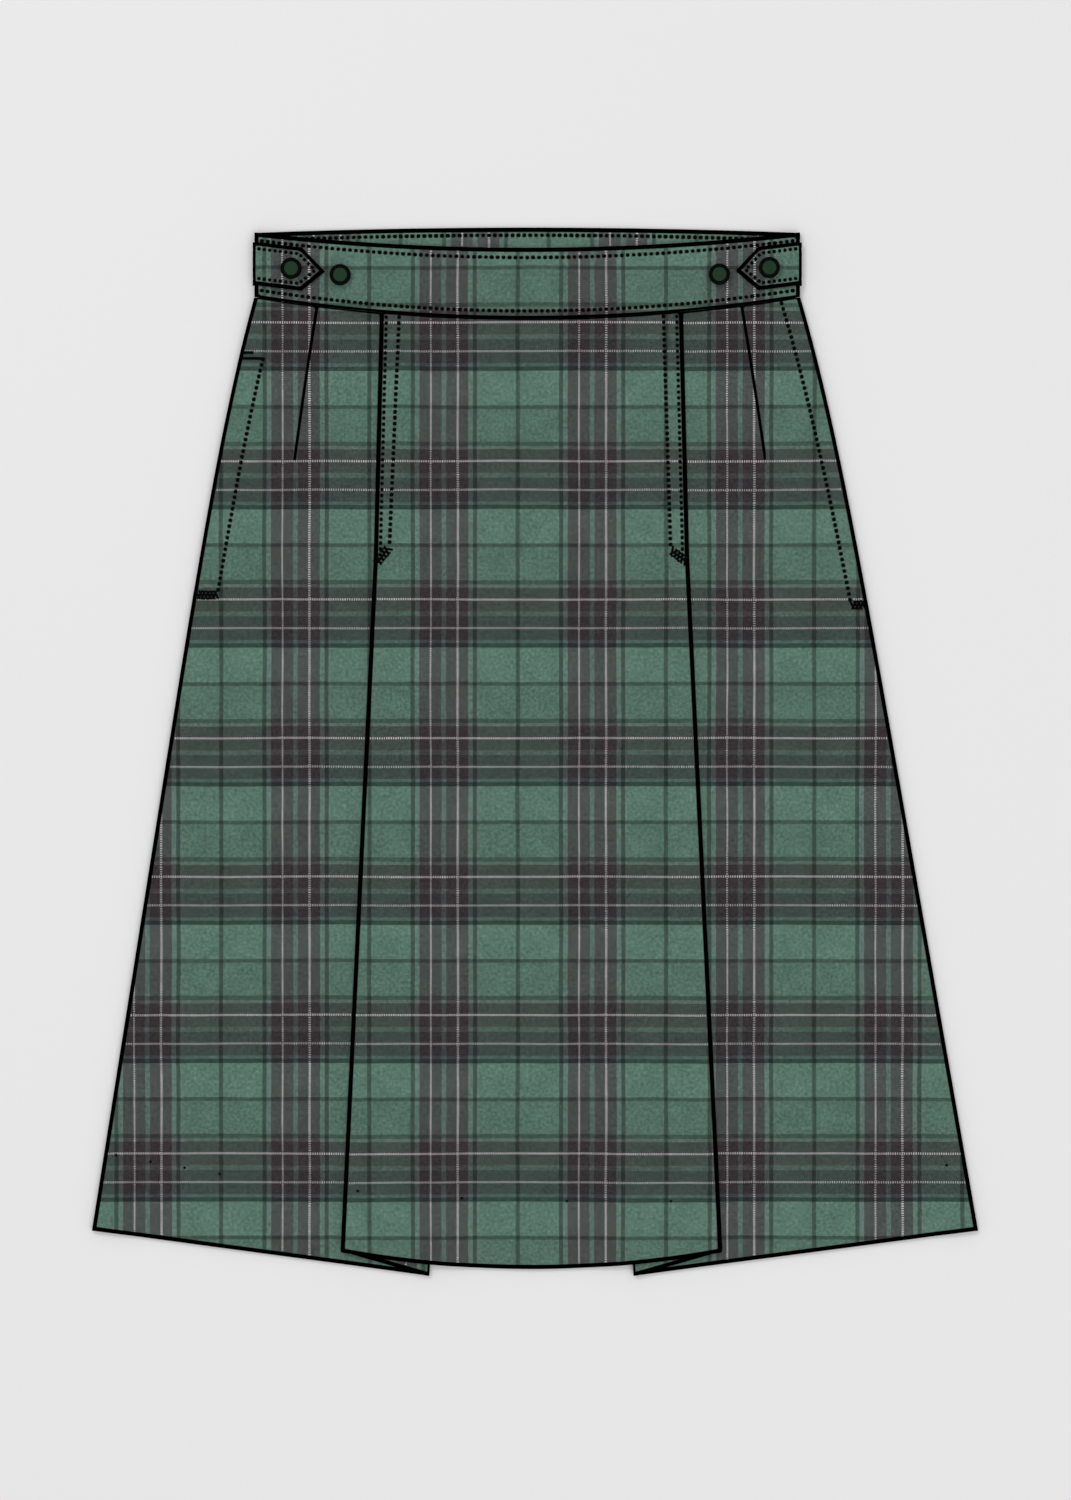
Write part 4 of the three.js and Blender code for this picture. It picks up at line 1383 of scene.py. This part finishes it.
def floor():
    bpy.ops.object.select_all(action="DESELECT")
    bpy.ops.mesh.primitive_plane_add(size=FLOOR_SIZE, location=(0, 0, -FLOOR_DROP))
    surface = bpy.context.object
    surface.name = "table"
    finish, nodes, shader = material("pale_table")
    shader.inputs["Base Color"].default_value = (*linear(233, 233, 233), 1)
    shader.inputs["Roughness"].default_value = 0.9
    shader.inputs["Specular IOR Level"].default_value = 0.1
    surface.data.materials.append(finish)


def light(name, place, size, power):
    data = bpy.data.lights.new(name, "AREA")
    data.shape = "DISK"
    data.size = size
    data.energy = power
    lamp = bpy.data.objects.new(name, data)
    lamp.location = place
    lamp.rotation_euler = (-Vector(place)).to_track_quat("-Z", "Y").to_euler()
    bpy.context.collection.objects.link(lamp)


PHOTO_WIDTH, PHOTO_HEIGHT = 1071, 1500
MM_PER_PIXEL = 0.62
PHOTO_MIDDLE = (535.0, 751.5)
LENS = 85
SENSOR = 36


def camera():
    data = bpy.data.cameras.new("camera")
    data.lens = LENS
    data.sensor_width = SENSOR
    data.sensor_fit = "AUTO"
    eye = bpy.data.objects.new("camera", data)
    distance = PHOTO_HEIGHT * MM_PER_PIXEL * MM * LENS / SENSOR
    x = (PHOTO_WIDTH / 2 - PHOTO_MIDDLE[0]) * MM_PER_PIXEL * MM
    y = (PHOTO_MIDDLE[1] - PHOTO_HEIGHT / 2) * MM_PER_PIXEL * MM
    eye.location = (x, y, distance + STACK_BOTTOM * MM)
    bpy.context.collection.objects.link(eye)
    bpy.context.scene.camera = eye


def dress(piece, finish, *nodes, slot="check_cloth"):
    piece.data.materials.clear()
    piece.data.materials.append(finish)
    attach(piece, "root")
    if nodes:
        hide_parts(*nodes)


GROUPS["twill"] = twill_group()
GROUPS["spun fibre"] = fibre_group()
CLOTH_FINISH = check_cloth()
THREAD = plain_material(
    "black_thread", linear(7, 8, 7),
    roughness=0.85, grain=2600, strength=0.5, bump=0.00005, Specular_IOR_Level=0.06,
)
BUTTON_FACE = plain_material(
    "green_resin", linear(36, 58, 41),
    roughness=0.7, grain=420, strength=0.25, bump=0.00001, Specular_IOR_Level=0.08,
)
BUTTON_EDGE = plain_material(
    "dark_resin", linear(6, 7, 6),
    roughness=0.7, grain=420, strength=0.2, bump=0.00001, Specular_IOR_Level=0.06,
)

panels = {
    "front_centre_panel": centre_panel(),
    "front_side_right": side_panel("right"),
    "front_side_left": side_panel("left"),
    "back_panel": back_panel(),
}
bands = {
    "waistband_front": waistband(
        "waistband_front_cloth", front_top, front_seam, BAND_OUTER, BAND,
        band_rows, lambda x, d: [],
    ),
    "waistband_back": waistband(
        "waistband_back_cloth", back_top, back_seam, 0.0, BACK_BAND,
        lambda x, d: [BACK_BAND_ROW, d - BAND_SEAM_ROW], lambda x, d: [BACK_BAND_ROW],
        u_shift=BACK_BAND_SHIFT,
    ),
}
tabs = {f"tab_{name}": tab(name) for name in SIDES}
threads = {
    "waistband_front": front_band_threads(),
    "waistband_back": back_band_threads(),
    "front_centre_panel": pleat_threads() + hem_tacks("centre", centre_face),
    "front_side_right": [
        *side_threads("right", POCKET_TOP, POCKET_BOTTOM),
        *pocket_top_tacks(),
        *hem_tacks("right", lambda x, y: side_face(RIGHT, "right", x, y)),
    ],
    "front_side_left": [
        *side_threads("left", front_seam(WAIST_LEFT - ZIP_ROW) - ZIP_ROW_TOP, ZIP_TACK),
        *hem_tacks("left", lambda x, y: side_face(LEFT, "left", x, y)),
    ],
    "tab_right": tab_threads("right"),
    "tab_left": tab_threads("left"),
}
for node, piece in {**panels, **bands, **tabs}.items():
    dress(piece, CLOTH_FINISH, node)
    for stitches in threads.get(node, []):
        dress(stitches, THREAD)


# Cuts: each sheet's flat size, with what turns under at the pleats. An edge that isn't level counts
# at its mean height, this share of the way from its short end to its long one.
BACK_HEM_MEAN = 0.6
SIDE_HEM_MEAN = 0.5


def cut_area(width, top, bottom, strips=60):
    """Area between two heights of a cut whose width is known at each height."""
    heights = steps(2 * strips, top, bottom)[1::2]
    return sum(width(y) for y in heights) * (top - bottom) / strips


def centre_cut(y):
    return 2 * (panel_half(y) + pleat_depth(y))


def side_cut(side):
    def width(y):
        return side_reach(side, y) - side["sign"] * PANEL_MIDDLE - panel_half(y) + pleat_depth(y)

    return width


def back_cut(y):
    return side_reach(RIGHT, y) + side_reach(LEFT, y)


def declare_sheets():
    top, hem = front_seam(PANEL_MIDDLE), centre_hem(PANEL_MIDDLE)
    centre_cut(PLEAT_EDGE_HEM)
    cut_area(centre_cut, top, PLEAT_EDGE_HEM)
    for side_name, side in SIDES.items():
        width = side_cut(side)
        width(HEM_CORNER)
        cut_area(width, SIDE_SEAM_TOP, mix(HEM_CORNER, PLEAT_CORNER, SIDE_HEM_MEAN))
    top, hem = back_seam(WAIST_MIDDLE), back_hem(0)
    back_area = cut_area(back_cut, SIDE_SEAM_TOP, mix(HEM_CORNER, hem, BACK_HEM_MEAN))


declare_sheets()
for piece, node, shift in buttons():
    dress(piece, BUTTON_FACE, node, slot="button")
    piece.data.materials.append(BUTTON_EDGE)
    for face in piece.data.polygons:
        out = math.hypot(face.center.x - shift.x, face.center.y - shift.y)
        face.material_index = 1 if out > BUTTON_FACE_RADIUS * MM else 0

INNER = {
    "pocket_bag": plain_material(
        "pocket_lining", linear(58, 74, 68), roughness=0.6, grain=900, strength=0.3, bump=0.00004
    ),
    "side_zip": plain_material(
        "zip_tape", linear(44, 63, 55), roughness=0.8, grain=1500, strength=0.4, bump=0.0001
    ),
    "zip_slider": plain_material(
        "zip_metal", linear(139, 143, 142),
        roughness=0.35, grain=300, strength=0.2, bump=0.00002, Metallic=0.9,
    ),
}
for node, finish in INNER.items():
    bpy.data.objects[node].material_slots[0].material = finish

floor()
light("key", (-1.6, 1.8, 3.0), 1.0, 31)
light("fill", (1.8, -1.6, 3.2), 2.4, 26)
world = bpy.data.worlds.new("studio")
world.use_nodes = True
world.node_tree.nodes["Background"].inputs["Color"].default_value = (1, 1, 1, 1)
world.node_tree.nodes["Background"].inputs["Strength"].default_value = 0.7
bpy.context.scene.world = world
bpy.context.scene.view_settings.view_transform = "Standard"
camera()
